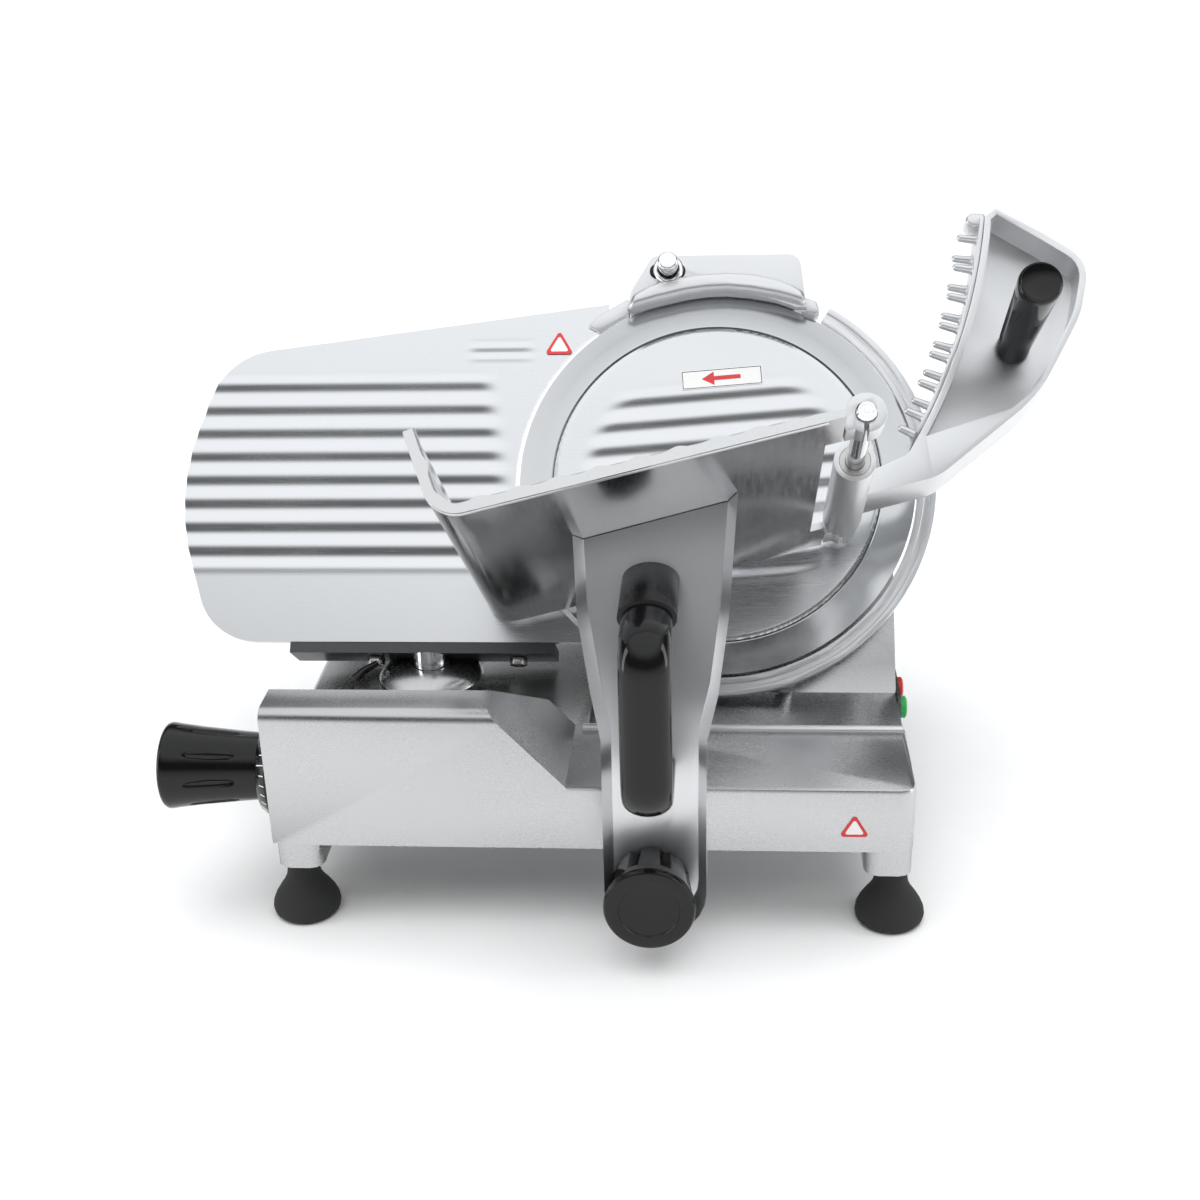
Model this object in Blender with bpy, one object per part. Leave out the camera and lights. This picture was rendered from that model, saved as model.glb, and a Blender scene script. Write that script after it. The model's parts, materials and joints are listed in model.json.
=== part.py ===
"""Gravity-feed deli meat slicer with a 250 mm blade, modelled piece by piece.

World frame: X to the operator's right, Y away from the operator, Z up, metres.
The blade frame leans back: its local X is world X, local Y runs up the blade's
face and local Z leaves the blade towards the operator.  All lengths below are in
millimetres and are turned into metres by the helpers.
"""
import math

import bmesh
import bpy
from mathutils import Matrix, Vector

MM = 0.001
GAP = 0.3                      # clearance between pieces that touch
RUN = 0.2                      # radial clearance of a shaft in its bore

# ---- blade group -----------------------------------------------------------
BLADE_LEAN = 37.9              # degrees that the blade leans back from vertical
BLADE_R = 125.0
BLADE_CLEAR = 18.8645          # height of the blade's lowest edge over the sunk deck
BLADE_DISH_R = BLADE_R - 20.5  # inner radius of the ground ring
BLADE_DISH = 8.7               # depth of the dish that the cover sits in
BLADE_WEB = 4.3                # thickness of the blade's web
BLADE_HOLE_R = 18.0
COVER_GAP = 1.0                # ring gap between cover and blade
COVER_T = 6.0
COVER_DROP = 1.0               # cover face under the cutting plane
GUARD_IN_R = BLADE_R + 1.6
GUARD_W = 11.4
GUARD_T = 8.0
GUARD_FROM = -117.0            # degrees, where the guard ring starts at the bottom
GUARD_TO = 58.0                # degrees, where it ends at the sharpener
SHAFT_R = 8.0
TIE_R = 3.5
TIE_KNOB_R = 13.0
TIE_KNOB_L = 16.0
BEARING_R = 16.0
BEARING_W = 9.0
PULLEY_R = 42.0
PULLEY_W = 14.0
MOTOR_X = 58.0                 # motor axis in the blade frame
MOTOR_V = -38.0
MOTOR_R = 42.0
MOTOR_L = 46.0
MOTOR_SHAFT_R = 5.0
MOTOR_PULLEY_R = 11.0
BELT_W = 9.0
BELT_T = 3.5

# ---- base casting ----------------------------------------------------------
BASE_X0 = -253.0
BASE_X1 = 112.0
BASE_Y0 = -198.0
BASE_Y1 = 106.0
RIM_Z = 57.0                   # lower edge of the walls
DECK_Z = 97.0
WALL = 4.5
VALLEY_Z = 88.0                # sunk deck between the front rail and the housing
VALLEY_X0 = -75.0
VALLEY_Y0 = -126.0
LEG_Z = 41.0
LEG_W = 27.0
LEG_D = 40.0
LEG_TOP = 70.0
BLOCK_Z = 143.0                # top of the raised front-left block
BLOCK_FLAT = 28.0              # depth of its flat top
BLOCK_D = 73.0                 # depth of the whole block
BLOCK_X1 = -125.0              # where its top ends and the slope to the deck starts
BLOCK_SLOPE = 43.0
HOUSE_X0 = -58.0               # belt and motor housing behind the blade
HOUSE_FRONT = 22.0             # distance of its front face behind the cutting plane
HOUSE_TOP = 58.0               # height of its top over the blade axis, up the blade
HOUSE_DEPTH = 62.0
HOUSE_BEVEL = 12.0             # drop of the top's slope at the back
BOSS_R = 24.0
BOSS_L = 28.0
FOOT_R = 20.0
FOOT_NECK_R = 9.5
FOOT_INSET_X = 10.5
FOOT_INSET_Y = 20.0

# ---- thickness setting ------------------------------------------------------
KNOB_Y = -165.0
KNOB_Z = 90.0
KNOB_R = 25.5
KNOB_L = 58.0
DIAL_R = 30.0
DIAL_T = 8.0
KNOB_SHAFT_R = 5.0
CAM_X = -205.0
CAM_T = 12.0
CAM_R0 = 12.0                  # cam radius at slice thickness zero
CAM_RISE = 12.0                # travel that the whole turn gives
CAM_TURN = 300.0               # degrees from zero to the thickest slice
CAM_ROLLER_R = 5.5
GAUGE_X = -180.0
GAUGE_Y = -60.0
COLUMN_R = 11.0
GAUGE_ROD_R = 8.0
GAUGE_ROD_Z = 76.0
GAUGE_ROD_Y = (-116.0, -12.0)
GAUGE_T = 5.0
GAUGE_TOP = 121.0
GAUGE_BOTTOM = -105.0
GAUGE_LEFT = -344.0
GAUGE_RIGHT = -70.0
GAUGE_DROP = 0.5               # plate face under the cutting plane
BAR_T = 6.5
BAR_D = 26.0
BAR_X0 = -268.0
BAR_X1 = 25.0 - BLADE_R

# ---- carriage ---------------------------------------------------------------
CARRIAGE_ROD_R = 6.0
CARRIAGE_ROD_Y = -179.0
CARRIAGE_ROD_Z = 54.0
RAIL_R = 5.0
RAIL_Y = -140.0
RAIL_Z = 57.0
BLOCK_X = (-60.0, -4.0)        # length of the slide block on its rod
ARM_FRONT = -224.0             # front rim of the arm's upright part
ARM_DEPTH = 20.0
ARM_POCKET = 14.0
ARM_RIM = 4.5
ARM_BEND_Z = 141.0
ARM_LEAN = 0.5                 # run back per unit of height over the bend
ARM_FOOT_Z = 45.0
ARM_X0 = -60.5
ARM_X1 = -4.0
ARM_TOP = ((-79.0, 15.0), 290.0)
TRAY_CORNER = (-133.6, -90.3)  # where tray floor and tray wall meet, in the blade plane
TRAY_SLOPE = 14.4              # degrees
TRAY_FLOOR = 195.0
TRAY_WALL_END = (-149.0, -49.0)
TRAY_T = 5.0
TRAY_FAR = 6.0                 # gap between the tray and the cutting plane
TRAY_NEAR = 241.0
ROD_XV = (76.0, -35.2)         # pusher rod in the blade plane
ROD_R = 5.3
ROD_FAR = 11.0
ROD_NEAR = 225.0
LUG_R = 10.5
LUG_FAR = (16.0, 36.0)
LUG_NEAR = (207.0, 222.0)
HANDLE_X = -34.0
HANDLE_Z = (120.0, 214.0)      # height of the two posts of the D handle
HANDLE_FRONT = -262.0
HANDLE_R = 13.5                # half the width of its bar
HANDLE_THIN_R = 8.8            # half the thickness of its bar
HANDLE_BEND = 15.0
LOCK_Z = 45.5
LOCK_X = -35.0
LOCK_R = 25.5
LOCK_BACK_R = 21.0
LOCK_FACE = -242.0
STUD_R = 4.0

# ---- pusher -----------------------------------------------------------------
SLEEVE_R = 11.5
SLEEVE = (36.5, 145.0)
BUSH_R = 8.5
PUSHER_D = (38.0, 76.0)
PUSHER_POCKET = 24.0
PUSHER_RIM = 4.0
SPIKE_PLATE_T = 2.5
SPIKE_L = 13.0
SPIKE_R = 2.6
SPIKE_TIP_R = 0.6
SPIKE_SINK = 0.6               # how far a spike's foot sinks into its plate
SPIKE_STEPS = 10
# toothed side of the pusher, from its rod in the blade plane
SPIKE_CURVE = ((43.4, 39.7), (78.0, 105.0), (85.4, 177.0))
# the other sides of the pusher as (x, v, corner radius), clockwise from its tip
PUSHER_SIDE = [(92.0, 182.0, 0), (119.0, 165.5, 10), (145.65, 147.0, 20), (139.0, 113.0, 60),
               (113.0, 63.0, 90), (54.0, 13.5, 30), (8.0, 1.0, 0), (2.0, 11.0, 0),
               (36.0, 26.5, 10)]
GRIP_XV = (178.5, 66.0)
GRIP_D = (48.6, 150.0)
GRIP_R = (9.0, 12.5)

# ---- sharpener --------------------------------------------------------------
SHARP_X = (-55.0, 57.0)
SHARP_V = (BLADE_R - 15.0, BLADE_R + 21.5)
SHARP_D = (-34.0, 17.0)
SHARP_WALL = 5.0
SHARP_ROOF = 3.0
SHARP_LIP_R = BLADE_R - 4.0
STONE_R = 7.0
STONE_T = 5.0
BUTTON_R = 6.5
STEM_R = 3.0
BUTTON_X = 31.0
BUTTON_V = BLADE_R + 11.0
BUTTON_TRAVEL = 4.0
BUTTON_L = 11.0
POST_X = 15.0
CLAMP_R = 12.0

# ---- switches and cable inlet -----------------------------------------------
SWITCH_Y = -50.0
SWITCH_Z = 78.0
SWITCH_PITCH = 26.0
SWITCH_R = 7.0
SWITCH_TRAVEL = 3.0
GLAND_X = -200.0

LEAN = math.radians(BLADE_LEAN)
SIN = math.sin(LEAN)
COS = math.cos(LEAN)
# height of the blade's centre over the table
BLADE_Z = VALLEY_Z + BLADE_CLEAR + BLADE_R * COS
SLOPE = math.radians(TRAY_SLOPE)
# the tie rod's knob starts where its rim clears the back wall
TIE_END = (BASE_Y1 + TIE_KNOB_R * SIN + 2.0) / COS

PAINTS = {}


def clear_scene():
    for ob in list(bpy.data.objects):
        bpy.data.objects.remove(ob)


def paint(name, colour, roughness, metallic):
    """One Principled material for each finish and node."""
    mat = bpy.data.materials.new(name)
    mat.use_nodes = True
    shader = mat.node_tree.nodes["Principled BSDF"]
    shader.inputs["Base Color"].default_value = (*colour, 1.0)
    shader.inputs["Roughness"].default_value = roughness
    shader.inputs["Metallic"].default_value = metallic
    mat.diffuse_color = (*colour, 1.0)
    return mat


FINISH = {
    "cast": ((0.72, 0.73, 0.74), 0.38, 1.0),
    "plate": ((0.76, 0.77, 0.78), 0.30, 1.0),
    "steel": ((0.66, 0.67, 0.69), 0.18, 1.0),
    "chrome": ((0.85, 0.85, 0.86), 0.06, 1.0),
    "black": ((0.01, 0.01, 0.011), 0.18, 0.0),
    "rubber": ((0.02, 0.02, 0.02), 0.75, 0.0),
    "brass": ((0.72, 0.52, 0.24), 0.3, 1.0),
    "green": ((0.02, 0.35, 0.08), 0.35, 0.0),
    "red": ((0.5, 0.02, 0.02), 0.35, 0.0),
    "painted": ((0.10, 0.11, 0.12), 0.45, 0.0),
}


def frame(name, location=(0.0, 0.0, 0.0), parent=None, rotation=(0.0, 0.0, 0.0)):
    """An empty that holds pieces; its location is in millimetres."""
    ob = bpy.data.objects.new(name, None)
    ob.location = Vector(location) * MM
    ob.rotation_euler = rotation
    ob.parent = parent
    bpy.context.collection.objects.link(ob)
    return ob


def piece(name, bm, parent, finish="cast", location=(0.0, 0.0, 0.0), rotation=(0.0, 0.0, 0.0),
          smooth=True):
    """Turns a bmesh in millimetres into a named object under its frame."""
    bmesh.ops.remove_doubles(bm, verts=bm.verts, dist=1e-4)
    bmesh.ops.recalc_face_normals(bm, faces=bm.faces)
    bmesh.ops.scale(bm, vec=Vector((MM, MM, MM)), verts=bm.verts)
    mesh = bpy.data.meshes.new(name)
    bm.to_mesh(mesh)
    bm.free()
    if smooth:
        mesh.shade_smooth()
        mesh.set_sharp_from_angle(angle=math.radians(35))
    ob = bpy.data.objects.new(name, mesh)
    ob.location = Vector(location) * MM
    ob.rotation_euler = rotation
    ob.parent = parent
    bpy.context.collection.objects.link(ob)
    if finish is not None:
        mesh.materials.append(paint(name, *FINISH[finish]))
    return ob


def leaning(name, parent):
    """A frame that leans like the blade and moves with its parent."""
    return frame(name, (0, 0, BLADE_Z), parent, (math.pi / 2 - LEAN, 0, 0))


def guide(name, bm, parent, location=(0.0, 0.0, 0.0), rotation=(0.0, 0.0, 0.0)):
    """A hidden shape that a Boolean adds or takes away."""
    ob = piece(name, bm, parent, None, location, rotation, smooth=False)
    ob.hide_render = True
    ob.display_type = "WIRE"
    return ob


def boolean(ob, tool, operation):
    mod = ob.modifiers.new(tool.name, "BOOLEAN")
    mod.operation = operation
    mod.solver = "EXACT"
    mod.object = tool


def cut(ob, tool):
    boolean(ob, tool, "DIFFERENCE")


def add(ob, tool):
    boolean(ob, tool, "UNION")


def box_bm(low, high):
    bm = bmesh.new()
    size = Vector(high) - Vector(low)
    centre = (Vector(high) + Vector(low)) / 2
    matrix = Matrix.Translation(centre) @ Matrix.Diagonal((*size, 1.0))
    bmesh.ops.create_cube(bm, size=1.0, matrix=matrix)
    return bm


def round_edges(bm, width, segments=2, test=None):
    edges = [e for e in bm.edges if test is None or test(e)]
    bmesh.ops.bevel(bm, geom=edges, offset=width, offset_type="OFFSET", segments=segments,
                    profile=0.5, affect="EDGES", clamp_overlap=True)
    return bm


def along(axis):
    """Matrix that turns local Z onto a world axis."""
    return Vector((0, 0, 1)).rotation_difference(Vector(axis)).to_matrix().to_4x4()


def rod_bm(radius, start, end, axis=(0, 0, 1), at=(0, 0, 0), segments=32, radius_end=None):
    """A solid cylinder or cone between two stations on an axis through a point."""
    bm = bmesh.new()
    top = radius if radius_end is None else radius_end
    middle = Matrix.Translation(Vector(at) + Vector(axis) * (start + end) / 2) @ along(axis)
    bmesh.ops.create_cone(bm, cap_ends=True, segments=segments, radius1=radius, radius2=top,
                          depth=end - start, matrix=middle)
    return bm


def turned_bm(profile, axis=(0, 0, 1), at=(0, 0, 0), segments=48):
    """Spins a profile of (radius, station) points; points on the axis close the body."""
    bm = bmesh.new()
    verts = [bm.verts.new((r, 0.0, z)) for r, z in profile]
    edges = [bm.edges.new((a, b)) for a, b in zip(verts, verts[1:])]
    if profile[0][0] > 0.0:
        edges.append(bm.edges.new((verts[-1], verts[0])))
    bmesh.ops.spin(bm, geom=verts + edges, cent=(0, 0, 0), axis=(0, 0, 1), angle=math.tau,
                   steps=segments, use_merge=True)
    bmesh.ops.remove_doubles(bm, verts=bm.verts, dist=1e-4)
    bmesh.ops.transform(bm, matrix=Matrix.Translation(Vector(at)) @ along(axis), verts=bm.verts)
    return bm


def prism_bm(outline, start, end, place):
    """Extrudes a closed 2D outline between two stations; place(a, b, s) gives the point."""
    bm = bmesh.new()
    low = [bm.verts.new(place(a, b, start)) for a, b in outline]
    high = [bm.verts.new(place(a, b, end)) for a, b in outline]
    bm.faces.new(low)
    bm.faces.new(high[::-1])
    count = len(outline)
    for i in range(count):
        j = (i + 1) % count
        bm.faces.new((low[i], high[i], high[j], low[j]))
    return bm


def on_blade(a, b, s):
    return (a, b, s)


def along_x(a, b, s):
    return (s, a, b)


def along_y(a, b, s):
    return (a, s, b)


def arc(cx, cy, radius, start, end, count):
    """Points on an arc, angles in degrees."""
    step = (end - start) / (count - 1)
    angles = [math.radians(start + step * i) for i in range(count)]
    return [(cx + radius * math.cos(t), cy + radius * math.sin(t)) for t in angles]


def rounded(corners, count=6):
    """Fillets a polygon given as (x, y, radius) corners."""
    points = []
    total = len(corners)
    for i, (x, y, radius) in enumerate(corners):
        here = Vector((x, y))
        before = (Vector(corners[i - 1][:2]) - here).normalized()
        after = (Vector(corners[(i + 1) % total][:2]) - here).normalized()
        if radius <= 0.0:
            points.append((x, y))
            continue
        half = before.angle(after) / 2
        centre = here + (before + after).normalized() * radius / math.sin(half)
        first = here + before * radius / math.tan(half) - centre
        last = here + after * radius / math.tan(half) - centre
        sweep = first.angle_signed(last)
        for k in range(count + 1):
            points.append(tuple(centre + Matrix.Rotation(-sweep * k / count, 2) @ first))
    return points


def side_point(v, d):
    """World (y, z) of the point v up the blade and d out of it."""
    return (SIN * v - COS * d, BLADE_Z + COS * v + SIN * d)


# ---- base -------------------------------------------------------------------

def house_profile(inset, floor):
    """Side outline of the housing behind the blade, shrunk by its wall."""
    front = -(HOUSE_FRONT + inset)
    top = HOUSE_TOP - inset
    back = -(HOUSE_FRONT + HOUSE_DEPTH)
    low_v = (floor - BLADE_Z - SIN * front) / COS
    rear_y = BASE_Y1 - inset
    ridge = side_point(top, back)
    return [side_point(low_v, front), side_point(top, front), ridge,
            (rear_y, ridge[1] - HOUSE_BEVEL), (rear_y, floor)]


def valley_profile():
    """Side outline of the sunk deck, up to the front face of the housing."""
    front = -HOUSE_FRONT
    top = DECK_Z + 7.0
    behind = [((z - BLADE_Z - SIN * front) / COS, z) for z in (VALLEY_Z, top)]
    return [(VALLEY_Y0, VALLEY_Z), side_point(behind[0][0], front),
            side_point(behind[1][0], front), (VALLEY_Y0, top)]


def base_casting(root, tilt):
    low = (BASE_X0, BASE_Y0, RIM_Z)
    high = (BASE_X1, BASE_Y1, DECK_Z)
    bm = box_bm(low, high)
    round_edges(bm, 9.0, 3, lambda e: abs(e.verts[0].co.z - e.verts[1].co.z) > 1.0)
    round_edges(bm, 3.0, 2, lambda e: min(v.co.z for v in e.verts) > DECK_Z - 0.01)
    casting = piece("base_casting", bm, root, "cast")
    front = [(BASE_X0, RIM_Z + 1), (BASE_X0, BLOCK_Z), (BLOCK_X1, BLOCK_Z),
             (BLOCK_X1 + BLOCK_SLOPE, DECK_Z - 1), (BLOCK_X1 + BLOCK_SLOPE, RIM_Z + 1)]
    bm = prism_bm(front, BASE_Y0, BASE_Y0 + BLOCK_D, along_y)
    block = guide("block_outer", round_edges(bm, 7.0, 3, block_edge), root)
    slope = box_bm((BASE_X0 - 5, -8, 0), (BLOCK_X1 + BLOCK_SLOPE + 5, 90, 60))
    cut(block, guide("block_back_slope", slope, root,
                     (0, BASE_Y0 + BLOCK_FLAT, BLOCK_Z), (math.radians(-33.0), 0, 0)))
    add(casting, block)
    bm = prism_bm(house_profile(0.0, DECK_Z - WALL - 1.0), HOUSE_X0, BASE_X1, along_x)
    add(casting, guide("house_outer", round_edges(bm, 5.0, 2, house_edge), root))
    cavity = box_bm((BASE_X0 + WALL, BASE_Y0 + WALL, RIM_Z - 5),
                    (BASE_X1 - WALL, BASE_Y1 - WALL, DECK_Z - WALL))
    cut(casting, guide("deck_cavity", cavity, root))
    bm = box_bm((BASE_X0 + WALL, BASE_Y0 + WALL, RIM_Z + 10),
                (BLOCK_X1, BASE_Y0 + BLOCK_D - WALL, BLOCK_Z - WALL))
    inner = guide("block_cavity", bm, root)
    slope = box_bm((BASE_X0, -8, 0), (BLOCK_X1 + 1, 90, 60))
    cut(inner, guide("cavity_back_slope", slope, root,
                     (0, BASE_Y0 + BLOCK_FLAT, BLOCK_Z - WALL - 2), (math.radians(-33.0), 0, 0)))
    cut(casting, inner)
    pad = box_bm((VALLEY_X0 - WALL, VALLEY_Y0 - WALL, VALLEY_Z - WALL),
                 (BASE_X1 - 1.0, -50.0, DECK_Z - 0.5))
    add(casting, guide("valley_floor", pad, root))
    bm = prism_bm(house_profile(WALL, RIM_Z - 5), HOUSE_X0 + WALL, BASE_X1 - WALL, along_x)
    cut(casting, guide("house_cavity", bm, root))
    cut(casting, guide("valley", prism_bm(valley_profile(), VALLEY_X0, BASE_X1 + 5, along_x), root))
    boss = rod_bm(BOSS_R, -(HOUSE_FRONT + BOSS_L), -HOUSE_FRONT - 1)
    add(casting, guide("bearing_boss", boss, tilt))
    bore = rod_bm(BEARING_R + RUN, -(HOUSE_FRONT + BOSS_L + 5), -HOUSE_FRONT + 5)
    cut(casting, guide("bearing_bore", bore, tilt))
    for i, x0 in enumerate((BASE_X0 + 0.5, BASE_X1 - LEG_W - 0.5)):
        for j, y0 in enumerate((BASE_Y0 + 0.5, BASE_Y1 - LEG_D - 0.5)):
            bm = box_bm((x0, y0, LEG_Z), (x0 + LEG_W, y0 + LEG_D, LEG_TOP))
            round_edges(bm, 8.0, 3, lambda e: abs(e.verts[0].co.z - e.verts[1].co.z) > 1.0)
            add(casting, guide(f"leg_{i}{j}", bm, root))
    for i, y0 in enumerate((GAUGE_ROD_Y[0] - 8.0 - GAP, GAUGE_ROD_Y[1] + GAP)):
        bm = box_bm((GAUGE_X - 14, y0, GAUGE_ROD_Z - 12), (GAUGE_X + 14, y0 + 8, DECK_Z - 2))
        add(casting, guide(f"gauge_rod_rib_{i}", bm, root))
    slot = box_bm((GAUGE_X - COLUMN_R - 1.5, GAUGE_Y - COLUMN_R - 1.5, DECK_Z - 10),
                  (GAUGE_X + COLUMN_R + 1.5, GAUGE_Y + COLUMN_R + CAM_RISE + 1.5, DECK_Z + 5))
    cut(casting, guide("column_slot", slot, root))
    hole = rod_bm(KNOB_SHAFT_R + RUN, BASE_X0 - 5, BASE_X0 + 12, (1, 0, 0), (0, KNOB_Y, KNOB_Z))
    cut(casting, guide("knob_shaft_hole", hole, root))
    for i in (-1, 1):
        y = SWITCH_Y + i * SWITCH_PITCH / 2
        hole = rod_bm(SWITCH_R + 0.5, BASE_X1 - 12, BASE_X1 + 5, (1, 0, 0), (0, y, SWITCH_Z))
        cut(casting, guide(f"switch_hole_{i + 1}", hole, root))
    hole = rod_bm(7.0 + RUN, BASE_Y1 - 12, BASE_Y1 + 5, (0, 1, 0), (GLAND_X, 0, SWITCH_Z))
    cut(casting, guide("gland_hole", hole, root))
    window = box_bm((22, BASE_Y1 - 12, 112), (96, BASE_Y1 + 5, 172))
    cut(casting, guide("rear_window", window, root))
    hole = rod_bm(TIE_R + 1.0, -(TIE_END + 20), -100.0)
    cut(casting, guide("tie_rod_hole", hole, tilt))


def block_edge(edge):
    """Top and left edges of the raised block, which the casting rounds."""
    a, b = (v.co for v in edge.verts)
    if max(a.y, b.y) > BASE_Y0 + BLOCK_D - 1:
        return False
    on_top = min(a.z, b.z) > DECK_Z and (a.y + b.y) / 2 < BASE_Y0 + 1
    return on_top or (a.x < BASE_X0 + 1 and b.x < BASE_X0 + 1 and a.z > DECK_Z < b.z)


def house_edge(edge):
    a, b = (v.co for v in edge.verts)
    return min(a.z, b.z) > DECK_Z + 20


def feet(root):
    top = LEG_Z - GAP
    profile = [(0.0, 0.0), (FOOT_R - 3, 0.0), (FOOT_R, 3.5), (FOOT_R, 7.0), (FOOT_R - 3, 14.0),
               (FOOT_NECK_R + 2.5, 22.0), (FOOT_NECK_R, 27.0), (FOOT_NECK_R, top), (0.0, top)]
    spots = {
        "foot_front_left": (BASE_X0 + FOOT_INSET_X, BASE_Y0 + FOOT_INSET_Y),
        "foot_front_right": (BASE_X1 - FOOT_INSET_X, BASE_Y0 + FOOT_INSET_Y),
        "foot_rear_left": (BASE_X0 + FOOT_INSET_X, BASE_Y1 - FOOT_INSET_Y),
        "foot_rear_right": (BASE_X1 - FOOT_INSET_X, BASE_Y1 - FOOT_INSET_Y),
    }
    for name, (x, y) in spots.items():
        piece(name, turned_bm(profile, segments=24), root, "rubber", (x, y, 0))


def bottom_cover(root):
    side = WALL + 0.6
    low = (BASE_X0 + LEG_W + 2, RAIL_Y + 16, RIM_Z + 1)
    high = (BASE_X1 - LEG_W - 2, BASE_Y1 - side, RIM_Z + 2.5)
    piece("bottom_cover", box_bm(low, high), root, "plate")


def blade_group(root, tilt):
    spin = frame("blade_axis", parent=tilt)
    back = BLADE_DISH + BLADE_WEB
    ring = BLADE_DISH_R
    blade = [(BLADE_HOLE_R, -BLADE_DISH), (ring - 4, -BLADE_DISH), (ring, -2.4),
             (ring + 2, -2.2), (BLADE_R, 0.0), (BLADE_R, -0.5), (BLADE_R - 13, -7.0),
             (ring, -back), (BLADE_HOLE_R, -back)]
    piece("blade", turned_bm(blade, segments=96), spin, "steel")
    hub = [(TIE_R + 0.7, -back + 3.4), (BLADE_HOLE_R - GAP, -back + 3.4),
           (BLADE_HOLE_R - GAP, -back - GAP), (30.0, -back - GAP), (30.0, -back - 6),
           (TIE_R + 0.7, -back - 6)]
    piece("blade_hub", turned_bm(hub), spin, "steel")
    top = -back - 6 - GAP
    pulley_at = -(HOUSE_FRONT + BOSS_L + 4)
    shaft = [(TIE_R + 0.7, top), (SHAFT_R, top), (SHAFT_R, pulley_at - PULLEY_W),
             (TIE_R + 0.7, pulley_at - PULLEY_W)]
    piece("blade_shaft", turned_bm(shaft, segments=32), spin, "steel")
    groove = (PULLEY_W - BELT_W - 1.0) / 2
    wheel = [(SHAFT_R + RUN, pulley_at), (PULLEY_R, pulley_at), (PULLEY_R, pulley_at - groove),
             (PULLEY_R - 2, pulley_at - groove), (PULLEY_R - 2, pulley_at - PULLEY_W + groove),
             (PULLEY_R, pulley_at - PULLEY_W + groove), (PULLEY_R, pulley_at - PULLEY_W),
             (SHAFT_R + RUN, pulley_at - PULLEY_W)]
    piece("blade_pulley", turned_bm(wheel), spin, "cast")
    for name, near in (("bearing_front", HOUSE_FRONT + 2), ("bearing_rear", HOUSE_FRONT + 17)):
        race = [(SHAFT_R + RUN, -near), (BEARING_R, -near), (BEARING_R, -near - BEARING_W),
                (SHAFT_R + RUN, -near - BEARING_W)]
        piece(name, turned_bm(race, segments=32), tilt, "chrome")
    cover_r = BLADE_DISH_R - COVER_GAP
    face = -COVER_DROP
    cover = [(0.0, face), (cover_r - 1.0, face), (cover_r, face - 1.0), (cover_r, -2.6),
             (BLADE_DISH_R - 5.5, -COVER_DROP - COVER_T), (0.0, -COVER_DROP - COVER_T)]
    piece("blade_cover", turned_bm(cover, segments=96), tilt, "plate")
    rod = [(0.0, -COVER_DROP - COVER_T - GAP), (TIE_R, -COVER_DROP - COVER_T - GAP),
           (TIE_R, -TIE_END), (TIE_KNOB_R, -TIE_END), (TIE_KNOB_R, -TIE_END - TIE_KNOB_L + 2),
           (TIE_KNOB_R - 2, -TIE_END - TIE_KNOB_L), (0.0, -TIE_END - TIE_KNOB_L)]
    piece("cover_tie_rod", turned_bm(rod, segments=24), tilt, "black")
    guard_ring(tilt)


def guard_ring(tilt):
    out_r = GUARD_IN_R + GUARD_W
    outline = arc(0, 0, GUARD_IN_R, GUARD_FROM, GUARD_TO, 44)
    outline += arc(0, 0, out_r, GUARD_TO, GUARD_FROM, 44)
    bm = prism_bm(outline, -1.5 - GUARD_T, -1.5, on_blade)
    ring = piece("blade_guard_ring", bm, tilt, "cast")
    middle = GUARD_IN_R + GUARD_W / 2
    for i, angle in enumerate((-70.0, -38.0)):
        at = (middle * math.cos(math.radians(angle)), middle * math.sin(math.radians(angle)), 0)
        lug = rod_bm(GUARD_W / 2 - 0.7, -HOUSE_FRONT + GAP, -3.0, at=at, segments=16)
        add(ring, guide(f"guard_lug_{i}", lug, tilt))


def drive(tilt):
    front = HOUSE_FRONT + BOSS_L + 4 + PULLEY_W + 4
    at = (MOTOR_X, MOTOR_V, 0)
    body = [(MOTOR_SHAFT_R + RUN, -front), (20.0, -front), (24.0, -front - 5),
            (MOTOR_R, -front - 7), (MOTOR_R, -front - MOTOR_L + 6), (30.0, -front - MOTOR_L),
            (0.0, -front - MOTOR_L), (0.0, -front - 18), (MOTOR_SHAFT_R + RUN, -front - 18)]
    piece("motor_body", closed_profile_bm(body, at), tilt, "painted")
    spin = frame("motor_axis", at, tilt)
    pulley_at = -(HOUSE_FRONT + BOSS_L + 4)
    piece("motor_shaft", rod_bm(MOTOR_SHAFT_R, -front - 18 + GAP, pulley_at + 2, segments=24),
          spin, "steel")
    wheel = [(MOTOR_SHAFT_R + RUN, pulley_at), (MOTOR_PULLEY_R, pulley_at),
             (MOTOR_PULLEY_R, pulley_at - PULLEY_W), (MOTOR_SHAFT_R + RUN, pulley_at - PULLEY_W)]
    piece("motor_pulley", turned_bm(wheel, segments=24), spin, "steel")
    inner = belt_path(PULLEY_R - 2 + GAP, MOTOR_PULLEY_R + GAP)
    outer = belt_path(PULLEY_R - 2 + GAP + BELT_T, MOTOR_PULLEY_R + GAP + BELT_T)
    middle = pulley_at - PULLEY_W / 2
    belt = piece("drive_belt", prism_bm(outer, middle - BELT_W / 2, middle + BELT_W / 2, on_blade),
                 tilt, "rubber")
    hollow = prism_bm(inner, middle - BELT_W, middle + BELT_W, on_blade)
    cut(belt, guide("belt_inside", hollow, tilt))


def closed_profile_bm(profile, at):
    """Spins a profile that meets the axis between two of its inner points."""
    start = next(i for i, (r, _) in enumerate(profile) if r == 0.0)
    order = profile[start + 1:] + profile[:start + 1]
    return turned_bm(order, at=at, segments=40)


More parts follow.
